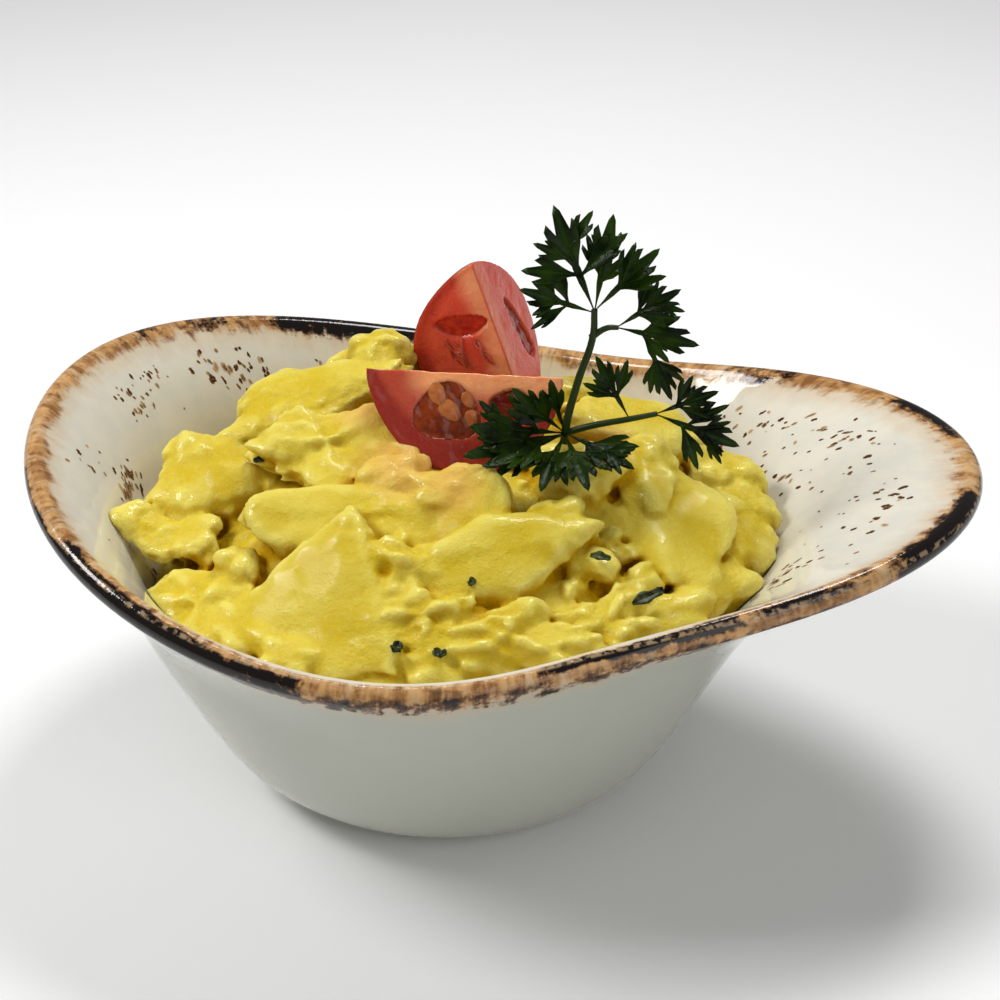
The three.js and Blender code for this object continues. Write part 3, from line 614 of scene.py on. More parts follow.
def bowl_finish(settings):
    """Off-white glaze, darker outside as painted shade, with a brushed brown rim that is burnt black in
    places and a painted highlight along its crest.
    """
    finish = Finish("glazed stoneware")
    place = finish.object_mm()
    heading = finish.vector("NORMALIZE", finish.vector("MULTIPLY", place, (1, 1, 0)))
    round_mm = finish.vector("SCALE", heading, RIM_GIRTH)
    rim = finish.attribute("rim_mm")
    across = finish.attribute("across_band")
    burnt_by = finish.attribute("burnt")

    def along_wall(stretch):
        """Coordinates in which a pattern is that many times longer across the rim than round it."""
        lift = finish.node("ShaderNodeCombineXYZ", {"Z": finish.sum("DIVIDE", rim, stretch)}).outputs[0]
        return finish.vector("ADD", round_mm, lift)

    def centred(value, times):
        return finish.times(finish.minus(value, 0.5), times)

    strokes = finish.noise(along_wall(5), 1.2, 3, 0.55)
    brushed = finish.noise(along_wall(2.2), 3.4, 3, 0.6)
    clouds = finish.noise(along_wall(0.7), 4.2, 4, 0.65)
    blotch = finish.noise(place, 8, 3, 0.55)
    fine = finish.noise(place, 0.8, 3, 0.6)
    # The band fades softly into the glaze.
    distance = finish.sum("ABSOLUTE", across)
    edge = finish.plus(distance, finish.plus(centred(brushed, 1.0), centred(strokes, 0.4)))
    edge = finish.plus(edge, centred(clouds, 0.7))
    tan_by = finish.step(edge, 1.15, 0.7)
    halo_by = finish.step(edge, 1.95, 0.85, 0.0, 0.55)
    # Glaze: the outside glaze is darker than the inside, a painted shade.
    mottle = finish.noise(place, 6, 3, 0.6)
    inner = finish.mix(finish.step(mottle, 0.35, 0.65), settings.glaze_inside, settings.glaze_cream)
    glaze = finish.mix(finish.step(across, -0.4, 0.3), settings.shaded_glaze_outside, inner)
    colour = finish.mix(halo_by, glaze, settings.rim_halo)
    streaked = finish.plus(finish.step(strokes, 0.58, 0.4, 0.0, 0.4), finish.step(clouds, 0.6, 0.4, 0.0, 0.6))
    tan = finish.mix(streaked, settings.rim_tan, settings.rim_brown)
    tan = finish.mix(finish.step(brushed, 0.52, 0.68, 0.0, 0.8), tan, settings.rim_halo)
    colour = finish.mix(tan_by, colour, tan)
    # Dark streaks gather at the band's lower edge outside, and in loose patches.
    outer = finish.times(finish.step(across, -0.25, -0.75), finish.step(edge, 1.3, 1.0))
    patches = finish.times(tan_by, finish.step(blotch, 0.45, 0.33))
    streaks = finish.times(finish.sum("MAXIMUM", outer, patches), finish.step(clouds, 0.58, 0.44))
    colour = finish.mix(finish.times(streaks, 0.72), colour, settings.rim_dark_brown)
    # Burnt arcs, with a brown margin.
    char = finish.plus(burnt_by, finish.plus(centred(clouds, -2.3), centred(strokes, -0.6)))
    char = finish.plus(char, centred(fine, 0.6))
    marked = finish.step(burnt_by, 0.03, 0.2)
    brown_by = finish.times(finish.step(char, 0.12, 0.45), marked)
    colour = finish.mix(finish.times(brown_by, 0.8), colour, settings.rim_dark_brown)
    black_by = finish.times(finish.step(char, 0.4, 0.62), marked)
    colour = finish.mix(black_by, colour, settings.rim_black)
    # Pale dotted line along the crest: a painted highlight.
    crest_highlight_by = finish.times(finish.step(finish.sum("ABSOLUTE", finish.minus(rim, 0.5)), 0.7, 0.2),
                          finish.step(finish.noise(place, 1.3, 2, 0.5), 0.42, 0.6))
    colour = finish.mix(finish.times(crest_highlight_by, 0.5), colour, settings.rim_halo)
    matt = finish.times(tan_by, finish.minus(1.0, black_by))
    finish.set(Base_Color=colour, Roughness=finish.step(matt, 0.0, 1.0, 0.07, 0.13), Specular_IOR_Level=0.38)
    relief = finish.times(finish.plus(strokes, brushed), tan_by)
    bump = finish.bump(relief, 0.12 * MM, 0.6)
    finish.set(Normal=finish.bump(finish.noise(place, 9, 2, 0.5), 0.25 * MM, 0.5, bump))
    return finish.material


class Wall:
    """The bowl's surface as it is meshed, to lay things on."""

    def __init__(self, sides):
        self.sides = sides
        self.sections, self.lengths = [], []
        for i in range(sides):
            points, crest = bowl_section(2 * math.pi * i / sides, *BOWL_STEPS)
            total = np.concatenate(([0], np.cumsum(np.linalg.norm(np.diff(points, axis=0), axis=1))))
            self.sections.append(points)
            self.lengths.append(total - total[crest])

    def on_section(self, i, from_crest, lift):
        points, lengths = self.sections[i % self.sides], self.lengths[i % self.sides]
        here, there = (np.array([np.interp(s, lengths, points[:, 0]), np.interp(s, lengths, points[:, 1])])
                       for s in (from_crest, from_crest + 0.5))
        tangent = (there - here) / np.linalg.norm(there - here)
        radius, height = here + lift * np.array((tangent[1], -tangent[0]))
        angle = 2 * math.pi * i / self.sides
        return np.array((radius * math.cos(angle), radius * math.sin(angle), height))

    def at(self, angle, from_crest, lift=0.0):
        """The place on the inside at an angle and a distance below the crest, lifted off it a little."""
        station = angle * self.sides / (2 * math.pi)
        first = math.floor(station)
        part = station - first
        return (self.on_section(first, from_crest, lift) * (1 - part)
                + self.on_section(first + 1, from_crest, lift) * part)


def build_speckles(settings):
    """Short dark strokes in the glaze, most of them along the wall, as a skin on it."""
    wall = Wall(settings.sides)
    draw = random.Random(23)
    bm = bmesh.new()
    pale = bm.verts.layers.float.new("pale")
    for middle, depth, spread, deep, count, longest in SPECKLE_PATCHES:
        for _ in range(round(count * settings.speckles)):
            angle = math.radians(middle + spread * draw.triangular(-1, 1))
            from_crest = max(SPECKLES_FROM, depth + deep * draw.triangular(-1, 1))
            length = longest * draw.triangular(0.25, 1.1, 0.35)
            width = length * draw.uniform(0.3, 0.6) + 0.15
            turn, tone, seed = draw.gauss(0, 0.4), draw.uniform(0, 0.75) ** 1.5, draw.uniform(0, 50)
            radius = math.hypot(*wall.at(angle, from_crest)[:2])
            made = bmesh.ops.create_grid(bm, x_segments=6, y_segments=4, size=1)["verts"]
            for vertex in made:
                u, v = vertex.co.x, vertex.co.y
                ragged = 1 + 0.7 * noise.noise(Vector((u * 1.7, v * 1.3, seed)))
                round_off = math.sqrt(max(0.0, 1 - 0.5 * u * u)) * ragged
                down, aside = u * length / 2 * math.sqrt(1 - 0.5 * v * v), v * width / 2 * round_off
                down, aside = (down * math.cos(turn) - aside * math.sin(turn),
                               down * math.sin(turn) + aside * math.cos(turn))
                vertex[pale] = tone + 0.5 * max(abs(u), abs(v)) ** 3
                vertex.co = metres(*wall.at(angle + aside / radius, from_crest + down, SPECKLE_LIFT))
    return closed("glaze_speckles", bm)


def speckle_finish(settings):
    finish = Finish("speckle in the glaze")
    pale = finish.attribute("pale")
    colour = finish.mix(finish.step(pale, 0.15, 1.0), settings.rim_dark_brown, settings.rim_halo)
    finish.set(Base_Color=colour, Roughness=0.4, Specular_IOR_Level=0.1)
    return finish.material


# ---------------------------------------------------------------- potato salad
def fill_level(angle):
    return FILL["mean"] - FILL["front"] * math.sin(angle) + FILL["right"] * math.cos(angle)


def heaped(level, share):
    """Height of the bare heap, where share is how far out a place lies from the middle to the wall."""
    return level + (HEAP["height"] - level) * (1 - share**2) ** HEAP["fullness"]


def core_section(angle):
    """The bare core's section at one angle, as in a bowl filled to its level and heaped."""
    lip = lip_curve(angle)
    level = fill_level(angle)
    parts = np.linspace(0, 1, 9)[1:]
    shore = 1.0
    for part in np.linspace(1, 2, 60):
        if inside_of_wall(lip, part, GAP)[1] < level:
            shore = part
    points = [(0, FLOOR + GAP), (FLOOR_RADIUS, FLOOR + GAP)]
    points += [inside_of_wall(lip, part, GAP) for part in parts]
    points += [inside_of_wall(lip, 1 + (shore - 1) * share, GAP) for share in (0.34, 0.67, 1)]
    radius, height = points[-1]
    return points + [(radius * share, heaped(height, share)) for share in np.linspace(1, 0, 15)[1:]]


def add_core(bm):
    sections = [core_section(2 * math.pi * i / CORE_SIDES) for i in range(CORE_SIDES)]
    core = spun_blank(len(sections[0]), CORE_SIDES)
    for vertex in core.verts:
        i = round(math.atan2(vertex.co.y, vertex.co.x) * CORE_SIDES / (2 * math.pi)) % CORE_SIDES
        radius, height = sections[i][round(vertex.co.z)]
        angle = 2 * math.pi * i / CORE_SIDES
        vertex.co = metres(radius * math.cos(angle), radius * math.sin(angle), height)
    part = closed("core", core, merge=True)
    bm.from_mesh(part)
    bpy.data.meshes.remove(part)


def turn_of(yaw=0, pitch=0, roll=0):
    return (Matrix.Rotation(math.radians(yaw), 3, "Z") @ Matrix.Rotation(math.radians(-pitch), 3, "Y")
            @ Matrix.Rotation(math.radians(roll), 3, "X"))


def corner_reach(angle, corners):
    """Distance to the edge of a regular polygon with its nearest side at distance 1."""
    step = 2 * math.pi / corners
    return 1 / math.cos((angle % step) - step / 2)


def add_potato(bm, at, size, yaw=0, pitch=0, roll=0, wobble=1, flat=3.4, curl=0, corners=0, mush=0.0,
               fineness=5):
    """A slice or lump: a ball pressed flat, with a wavy, broken outline."""
    made = bmesh.ops.create_icosphere(bm, subdivisions=fineness, radius=1)["verts"]
    turn = turn_of(yaw, pitch, roll)
    phase = at[0] * 0.7 + at[1] * 1.3
    shift = Vector((phase, at[2], -phase))
    middle = metres(*at)
    for vertex in made:
        v = vertex.co.copy()
        side = (abs(v.x) ** 2.6 + abs(v.y) ** 2.6) ** (1 / 2.6)
        norm = (side**flat + abs(v.z) ** flat) ** (1 / flat)
        around = math.atan2(v.y, v.x)
        level = math.hypot(v.x, v.y)
        wave = 0.1 * math.sin(3 * around + phase) + 0.07 * math.sin(5 * around + 2 * phase)
        wave += 0.16 * noise.noise(v * 1.7 + shift) + 0.09 * noise.noise(v * 4.1 + shift)
        if mush:
            wave += mush * (0.22 * noise.noise(v * 2.6 + shift) + 0.14 * noise.noise(v * 5.6 - shift))
        v = v / norm * (1 + wobble * wave * (level if not mush else 1))
        if corners:
            stretch = 1 + 0.75 * level * (corner_reach(around, corners) * 0.86 - 1)
            v.x *= stretch
            v.y *= stretch
        v.z += curl * math.sin(4 * v.x + phase) * level * 0.5
        v = turn @ Vector((v.x * size[0] / 2, v.y * size[1] / 2, v.z * size[2] / 2))
        vertex.co = middle + v * MM


def heap_height(x, y):
    """Height of the bare heap over a place, in the body's frame, and how far out that place lies."""
    angle = math.atan2(y, x)
    shore = inside_of_wall(lip_curve(angle), 1.4, GAP)[0]
    share = min(1, math.hypot(x, y) / shore)
    return heaped(fill_level(angle), share), share


def wall_table():
    """Inside radius of the bowl by angle (1 degree) and height (1 mm)."""
    heights = np.arange(0, 91)
    table = np.empty((360, len(heights)))
    for degrees in range(360):
        lip = lip_curve(math.radians(degrees))
        points = np.array([inside_of_wall(lip, part, GAP) for part in np.linspace(0.02, 1.99, 60)])
        order = np.argsort(points[:, 1], kind="stable")
        table[degrees] = np.interp(heights, points[order, 1], points[order, 0])
    return table


def kept_in_bowl(points):
    """Points (mm, body frame) moved in from the wall where they would cross it."""
    table = wall_table()
    angle = np.degrees(np.arctan2(points[:, 1], points[:, 0])) % 360
    first = np.floor(angle).astype(int) % 360
    part = angle - np.floor(angle)
    height = np.clip(points[:, 2], 0, 89.999)
    low = np.floor(height).astype(int)
    up = height - low

    def at(row):
        return table[row, low] * (1 - up) + table[row, low + 1] * up

    most = at(first) * (1 - part) + at((first + 1) % 360) * part
    radius = np.hypot(points[:, 0], points[:, 1])
    keep = np.minimum(1, most / np.maximum(radius, 1e-6))
    points = points.copy()
    points[:, :2] *= keep[:, None]
    points[:, 2] = np.maximum(points[:, 2], FLOOR + GAP)
    return points


def wedge_axes(wedge):
    """The wedge's own directions as columns (away, core, face), and its pointed end."""
    core = Vector(wedge["core"]).normalized()
    away = Vector(wedge["away"])
    away = (away - core * away.dot(core)).normalized()
    return np.array((away, core, away.cross(core))).T, np.array(wedge["pole"], float)


def tomato_radius(along, tip):
    along = np.clip(along, 0, TOMATO["pointed"] + TOMATO["blunt"])
    front = np.sin(math.pi / 2 * (along / TOMATO["pointed"]) ** tip)
    back = np.sqrt(np.maximum(0, 1 - ((along - TOMATO["pointed"]) / TOMATO["blunt"]) ** 2))
    return TOMATO["radius"] * np.where(along < TOMATO["pointed"], front, back)


def openness(mesh, points, normals, reaches, rays):
    """How open each point is, from 0 in a crevice to 1, by looking out as far as each reach."""
    tree = BVHTree.FromPolygons([tuple(p) for p in points], [tuple(f.vertices) for f in mesh.polygons])
    directions = []
    for k in range(rays):
        high = (k + 0.5) / rays
        turn = k * 2.39996
        flat = math.sqrt(1 - high * high)
        directions.append(Vector((flat * math.cos(turn), flat * math.sin(turn), high)))
    reaches = np.array(reaches)
    result = np.ones((len(points), len(reaches)))
    up = Vector((0, 0, 1))
    for i, (place, normal) in enumerate(zip(points.tolist(), normals.tolist())):
        if place[2] < HIDDEN_BELOW:
            result[i] = 0.3
            continue
        normal = Vector(normal)
        lean = up.rotation_difference(normal)
        start = Vector(place) + normal * 0.25
        seen = 0.0
        for direction in directions:
            distance = tree.ray_cast(start, lean @ direction, reaches[0])[3]
            seen = seen + (1.0 if distance is None else np.minimum(1, distance / reaches))
        result[i] = seen / rays
    return relaxed(result, edges_of(mesh), 1)


def build_salad(settings):
    """The whole heap as one uneven surface, with how open, steep and ridged each point is."""
    bm = bmesh.new()
    add_core(bm)
    for piece in SALAD_PIECES:
        add_potato(bm, **piece, fineness=5 if max(piece["size"]) > 12.5 else 4)
    draw = random.Random(11)
    for _ in range(settings.crumbs):
        radius = CRUMBS_WITHIN * math.sqrt(draw.uniform(0.1, 1))
        angle = math.radians(draw.uniform(-165, -5))
        x, y = radius * math.cos(angle), radius * math.sin(angle)
        height, share = heap_height(x, y)
        size = draw.uniform(3, 7.5)
        if share < 0.95:
            add_potato(bm, (x, y, height + draw.uniform(-1.5, 0.3)),
                       (size, size * draw.uniform(0.6, 0.9), size * draw.uniform(0.5, 0.8)),
                       draw.uniform(0, 180), draw.uniform(-20, 20), draw.uniform(-20, 20), flat=2.4, mush=1,
                       fineness=3)
    mesh = evened("potato_salad", bm, SALAD_GRAIN * MM)
    shift = np.array((BODY_AXIS_X, 0, 0))
    points = points_of(mesh) / MM - shift
    normals = normals_of(mesh)
    upper = smoothstep(34, 44, points[:, 2])
    mashed = smoothstep(-0.15, 0.35, rough_field(points, 16.0, 7))
    lumps = 1.1 * np.abs(rough_field(points, 4.5, 2)) + 0.6 * np.abs(rough_field(points, 2.0, 3)) - 0.3
    relief = 0.3 * rough_field(points, 8.0, 1) + (0.12 + 0.7 * mashed) * lumps
    points += normals * (relief * upper * settings.relief)[:, None]
    points = kept_in_bowl(points)
    set_points(mesh, (points + shift) * MM)
    mesh = thinned("potato_salad", mesh, MOST_TRIANGLES)
    points = points_of(mesh) / MM - shift
    normals = normals_of(mesh)
    edges = edges_of(mesh)
    wide, near = openness(mesh, points, normals, OPEN_REACHES, 10).T
    above = smoothstep(40, 46, points[:, 2])
    gap = smoothstep(0.3, 0.75, 1 - near) + 0.9 * smoothstep(0.4, 0.8, 1 - wide)
    points -= normals * (settings.seams * gap * above)[:, None]
    set_points(mesh, (points + shift) * MM)
    ridge = ((points - relaxed(points, edges, 9)) * normals_of(mesh)).sum(1)
    store(mesh, "ridge", smoothstep(0.02, 0.3, relaxed(ridge[:, None], edges, 2)[:, 0]))
    store(mesh, "steep", 1 - relaxed(normals, edges, 6)[:, 2])
    store(mesh, "crease", 1 - wide)
    store(mesh, "seam", 1 - near)
    stain = np.zeros(len(points))
    for centre, reach in STAINS:
        away = np.linalg.norm(points - np.array(centre), axis=1)
        stain = np.maximum(stain, 1 - smoothstep(reach * 0.35, reach * 1.4, away))
    store(mesh, "stain", stain)
    return mesh


def salad_finish(settings):
    """Waxy yellow potato under a thin wet dressing, with painted shade in gold and brown in creases, seams
    and on steep flanks, and painted light on its ridges.
    """
    finish = Finish("dressed potato")
    place = finish.object_mm()
    crease = finish.attribute("crease")
    stain = finish.attribute("stain")
    patch = finish.noise(place, 10, 3, 0.5)
    grain = finish.noise(place, 1.5, 4, 0.6)
    fine = finish.noise(place, 0.45, 3, 0.6)
    colour = finish.mix(finish.step(patch, 0.35, 0.65), settings.potato_pale, settings.potato_yellow)
    deep = finish.plus(crease, finish.times(finish.minus(patch, 0.5), 0.5))
    # Painted shade: steep flanks go deeper gold, as the light comes from above.
    flank = finish.step(finish.attribute("steep"), 0.25, 1.0, 0.0, 0.65)
    colour = finish.mix(flank, colour, settings.shaded_potato_gold)
    # Painted light: ridges and thin edges go pale cream, as light shines through them.
    ridge = finish.attribute("ridge")
    colour = finish.mix(finish.times(ridge, 0.75), colour, settings.cream_dressing_and_edge_light)
    # Painted shade: creases go gold and the deepest hollows brown, with random patches mixed in.
    colour = finish.mix(finish.step(deep, 0.15, 0.48), colour, settings.shaded_potato_gold)
    colour = finish.mix(finish.step(deep, 0.42, 0.75), colour, settings.shaded_potato_brown)
    # Painted shade: the seams between pieces go brown.
    seam = finish.step(finish.attribute("seam"), 0.3, 0.7, 0.0, 0.8)
    colour = finish.mix(seam, colour, settings.shaded_potato_brown)
    exposed = finish.step(crease, 0.15, 0.5, 1.0, 0.0)
    flecks = finish.times(finish.step(grain, 0.52, 0.7, 0.0, 0.2), exposed)
    colour = finish.mix(flecks, colour, settings.cream_dressing_and_edge_light)
    colour = finish.mix(finish.times(stain, 0.6), colour, settings.tomato_stain)
    rough = finish.step(finish.noise(place, 3.2, 3, 0.6), 0.35, 0.7, 0.25, 0.5)
    wet = finish.plus(finish.times(exposed, 0.06), finish.times(ridge, 0.3))
    finish.set(Base_Color=colour, Roughness=rough, Subsurface_Weight=0.3, Subsurface_Scale=1.0,
               Subsurface_Radius=(0.0022, 0.0014, 0.0003), Coat_Weight=wet, Coat_Roughness=0.06,
               Specular_IOR_Level=finish.times(exposed, 0.12))
    bump = finish.bump(grain, 0.6 * MM, 0.6)
    finish.set(Normal=finish.bump(fine, 0.25 * MM, 0.7, bump))
    return finish.material


def build_scraps():
    """Scraps of herb lying on the salad: small curled leaf bits."""
    bm = bmesh.new()
    for number, scrap in enumerate(HERB_SCRAPS):
        made = bmesh.ops.create_grid(bm, x_segments=8, y_segments=4, size=0.5)["verts"]
        turn = turn_of(scrap["yaw"], scrap["tilt"], 25)
        middle = metres(*scrap["at"])
        for vertex in made:
            u, v = vertex.co.x * 2, vertex.co.y * 2
            taper = math.sqrt(max(0.02, 1 - u * u)) * (1 + 0.3 * math.sin(5 * u + number))
            curl = 0.25 * math.sin(3 * u + number) + 0.35 * v * v
            flat = Vector((u * scrap["size"][0] / 2, v * taper * scrap["size"][1] / 2, 0.5 + curl))
            vertex.co = middle + turn @ flat * MM
    bmesh.ops.solidify(bm, geom=bm.faces[:], thickness=0.3 * MM)
    return closed("herb_scraps", bm)


# ---------------------------------------------------------------- tomato
def pocket_wobble(pocket, across, down):
    """By what share a pocket's outline leaves its ellipse."""
    return 0.09 * np.sin(3 * np.arctan2(across, down) + pocket["along"])


def pocket_depth(pocket, out, along, grow=0.0):
    """How deep a seed pocket is at a place of its cut face, and how near that place is to its rim (1)."""
    turn = math.radians(pocket["turn"])
    x, y = out - pocket["out"], along - pocket["along"]
    across = (x * math.cos(turn) + y * math.sin(turn)) / (pocket["width"] / 2 + grow)
    down = (-x * math.sin(turn) + y * math.cos(turn)) / (pocket["length"] / 2 + grow)
    share = np.hypot(across, down) * (1 + pocket_wobble(pocket, across, down))
    return pocket["depth"] * np.sqrt(np.maximum(0, 1 - share**2)), share


def build_flesh(place, wedge):
    """A quarter of the tomato, its pockets sunk, with a colour for each part of the cut."""
    length = TOMATO["pointed"] + TOMATO["blunt"]
    bm = bmesh.new()
    rings = [length * (1 - math.cos(math.pi * j / 60)) / 2 for j in range(61)]
    outline = []
    for along in rings:
        radius = 0.0 if along in (rings[0], rings[-1]) else float(tomato_radius(along, wedge["tip"]))
        outline.append(bm.verts.new((radius, along, 0)))
    edges = [bm.edges.new(pair) for pair in zip(outline, outline[1:])]
    bmesh.ops.spin(bm, geom=outline + edges, cent=(0, 0, 0), axis=(0, 1, 0), angle=2 * math.pi, steps=96,
                   use_merge=True)
    bmesh.ops.remove_doubles(bm, verts=bm.verts, dist=1e-4)
    for across in ((1, 0, 0), (0, 0, 1)):
        bmesh.ops.bisect_plane(bm, geom=bm.verts[:] + bm.edges[:] + bm.faces[:], dist=1e-5,
                               plane_co=(0, 0, 0), plane_no=across, clear_inner=True)
        bmesh.ops.holes_fill(bm, edges=[edge for edge in bm.edges if edge.is_boundary], sides=0)
    bmesh.ops.recalc_face_normals(bm, faces=bm.faces)
    bmesh.ops.scale(bm, vec=(MM, MM, MM), verts=bm.verts)
    mesh = evened(f"tomato_{place}_flesh", bm, WEDGE_GRAIN * MM)
    local = relaxed(points_of(mesh) / MM, edges_of(mesh), 1)
    x, y, z = local.T
    away_from_core = np.hypot(x, z)
    under_skin = tomato_radius(y, wedge["tip"]) - away_from_core
    on_z, on_x = x < CUT_SKIN, z < CUT_SKIN
    moved = local.copy()
    wet = np.zeros(len(local))
    dark = np.zeros(len(local))
    for pocket in wedge["pockets"].values():
        face, out, axis = (on_z, z, 0) if pocket["face"] == "z" else (on_x, x, 2)
        depth, share = pocket_depth(pocket, out, y)
        moved[:, axis] += np.where(face & (under_skin > 1.2), depth, 0)
        dark = np.maximum(dark, np.where(face, 1 - smoothstep(0.75, 1.2, share), 0))
        wet = np.maximum(wet, np.where(face, 1 - smoothstep(0.9, 1.5, share), 0))
    swell = rough_field(local, 5.0, 4) * 0.3 + rough_field(local, 1.8, 5) * 0.1
    on_cut = (on_z | on_x) & (under_skin > 0.8)
    for axis, face in ((0, on_z), (2, on_x)):
        uneven = np.maximum(swell, -0.02) * smoothstep(0.8, 3, under_skin)
        moved[:, axis] += np.where(face & on_cut, uneven, 0)
    look = TOMATO_COLOURS[place]
    patch = rough_field(local, 4.5, 6)
    wall = look["wall"] + patch
    colours = np.tile(TOMATO_COLOURS["skin"], (len(local), 1))

    def blend(colour, share):
        nonlocal colours
        colours = colours + (np.array(colour) - colours) * np.clip(share, 0, 1)[:, None]

    cut = np.where(on_z | on_x, 1.0, 0.0) * smoothstep(0.15, 0.5, under_skin)
    blend(look["outer"], cut)
    blend(look["flesh"], cut * smoothstep(wall, wall + 3.5, under_skin))
    on_core = 1 - smoothstep(1.5, 6.0 + 1.5 * patch, away_from_core)
    blend(look["core"], cut * on_core * smoothstep(look["core_from"] - 3, look["core_from"] + 3, y))
    if place == "back":
        blend(look["pink"], cut * np.where(on_x, 0.7, 0.0))
    blend(look["pink"], cut * smoothstep(0.2, 0.7, patch) * 0.5)
    blend(TOMATO_COLOURS["hollow"], dark * cut)
    axes, pole = wedge_axes(wedge)
    world = moved @ axes.T + pole
    set_points(mesh, (world + np.array((BODY_AXIS_X, 0, 0))) * MM)
    store_colour(mesh, "tint", np.clip(colours, 0, 1))
    store(mesh, "skin", np.where((on_z | on_x) & (under_skin > 0.5), 0.0, 1.0))
    store(mesh, "wet", wet)
    return mesh


def tomato_finish():
    """Wet cut tomato: the tint says which part of the cut it is."""
    finish = Finish("tomato flesh")
    place = finish.object_mm()
    tint = finish.attribute("tint", "Color")
    skin = finish.attribute("skin")
    wet = finish.attribute("wet")
    patch = finish.noise(place, 3.5, 3, 0.6)
    deeper = finish.mix(1.0, tint, (0.85, 0.6, 0.5), "MULTIPLY")
    colour = finish.mix(finish.step(patch, 0.3, 0.7, 0.0, 0.35), tint, deeper)
    fine = finish.noise(place, 0.8, 3, 0.6)
    rough = finish.step(finish.plus(skin, wet), 0.0, 1.0, 0.3, 0.14)
    finish.set(Base_Color=colour, Roughness=rough, Subsurface_Weight=0.22, Subsurface_Scale=1.0,
               Subsurface_Radius=(0.0025, 0.0006, 0.0004), Coat_Weight=0.25, Coat_Roughness=0.04,
               Specular_IOR_Level=0.2)
    height = finish.times(fine, finish.minus(1.0, finish.times(skin, 0.9)))
    finish.set(Normal=finish.bump(height, 0.3 * MM, 0.6))
    return finish.material


def build_jelly(place, side, wedge):
    """The jelly of one pocket: fills it, its surface uneven and a little below the cut."""
    pocket = wedge["pockets"][side]
    bm = bmesh.new()
    made = bmesh.ops.create_icosphere(bm, subdivisions=5, radius=1)["verts"]
    turn = math.radians(pocket["turn"])
    axes, pole = wedge_axes(wedge)
    spin = Matrix(axes.tolist())
    for vertex in made:
        v = vertex.co
        reach = 1 / (1 + pocket_wobble(pocket, v.x, v.y))
        across = v.x * reach * (pocket["width"] / 2 + 0.1)
        down = v.y * reach * (pocket["length"] / 2 + 0.1)
        lump = 0.45 * noise.noise(Vector((across, down, 3.1)) / 1.7)
        lump += 0.2 * noise.noise(Vector((across, down, 7)) / 0.8)
        surface = pocket["sunk"] + lump * (0.25 + 0.5 * pocket["sunk"])
        depth = max(v.z * (pocket["depth"] - 0.35), surface, 0.03)
        out = pocket["out"] + across * math.cos(turn) - down * math.sin(turn)
        along = pocket["along"] + across * math.sin(turn) + down * math.cos(turn)
        local = Vector((depth, along, out)) if pocket["face"] == "z" else Vector((out, along, depth))
        vertex.co = metres(*(spin @ local + Vector(pole)))
    return closed(f"tomato_{place}_jelly_{side}", bm, merge=True)


def jelly_finish(name):
    colour, deep = JELLY_COLOURS[name]
    finish = Finish(name)
    place = finish.object_mm()
    patch = finish.noise(place, 2.6, 3, 0.55)
    tone = finish.mix(finish.step(patch, 0.35, 0.65), colour, deep)
    finish.set(Base_Color=tone, Roughness=0.12, Subsurface_Weight=0.3, Subsurface_Scale=1.0,
               Subsurface_Radius=(0.002, 0.0009, 0.0004), Coat_Weight=0.15, Coat_Roughness=0.04,
               Specular_IOR_Level=0.2)
    finish.set(Normal=finish.bump(finish.noise(place, 1.6, 2, 0.5), 0.15 * MM, 0.5))
    return finish.material


def build_seeds():
    """Flat drop-shaped seeds half sunk in the front wedge's jelly."""
    wedge = WEDGES["front"]
    axes, pole = wedge_axes(wedge)
    spin = Matrix(axes.tolist())
    bm = bmesh.new()
    for out, along, turn, length, width in SEEDS:
        made = bmesh.ops.create_uvsphere(bm, u_segments=20, v_segments=12, radius=1)["verts"]
        angle = math.radians(turn)
        for vertex in made:
            v = vertex.co
            taper = 1 - 0.28 * v.y
            across, down, rise = v.x * width / 2 * taper, v.y * length / 2, v.z * 0.42
            place = Vector((0.24 - rise, along + across * math.sin(angle) + down * math.cos(angle),
                            out + across * math.cos(angle) - down * math.sin(angle)))
            vertex.co = metres(*(spin @ place + Vector(pole)))
    return closed("tomato_seeds", bm)


def build_strings():
    """Wet strings of jelly that hang over the back wedge's cut."""
    wedge = WEDGES["back"]
    axes, pole = wedge_axes(wedge)
    bm = bmesh.new()
    for number, (out, along, end_out, end_along, radius) in enumerate(STRINGS):
        points = []
        for share in (0, 0.25, 0.5, 0.75, 1):
            sway = 0.5 * math.sin(2.6 * number + 5 * share)
            local = np.array((0.1 - 0.35 * math.sin(math.pi * share), along + (end_along - along) * share,
                              out + (end_out - out) * share + sway))
            points.append(tuple(axes @ local + pole))
        add_stalk(bm, points, radius)
    return closed("tomato_strings", bm)


# ---------------------------------------------------------------- parsley
def add_lobe(bm, layer, root, tip, width, up, bend=0.0):
    """A lobe of leaf, narrow at its root, with three teeth. Its middle line is its vein."""
    columns = len(LOBE_TEETH) - 1
    made = bmesh.ops.create_grid(bm, x_segments=columns, y_segments=8, size=1)["verts"]
    direction = tip - root
    length = direction.length
    direction.normalize()
    side = direction.cross(up).normalized()
    lift = side.cross(direction)
    for vertex in made:
        across, reach = LOBE_TEETH[round((vertex.co.x + 1) / 2 * columns)]
        along = (vertex.co.y + 1) / 2 * reach
        half = width / 2 * (0.1 + 0.9 * ease(0.05, 0.68, along)) * (1 + 0.3 * max(0, along - 0.62))
        cup = 0.38 * abs(across) ** 1.5 * half + bend * length * along * along
        vertex[layer] = abs(across)
        place = root + direction * (along * length) + side * (across * half) + lift * cup
        vertex.co = metres(*place)


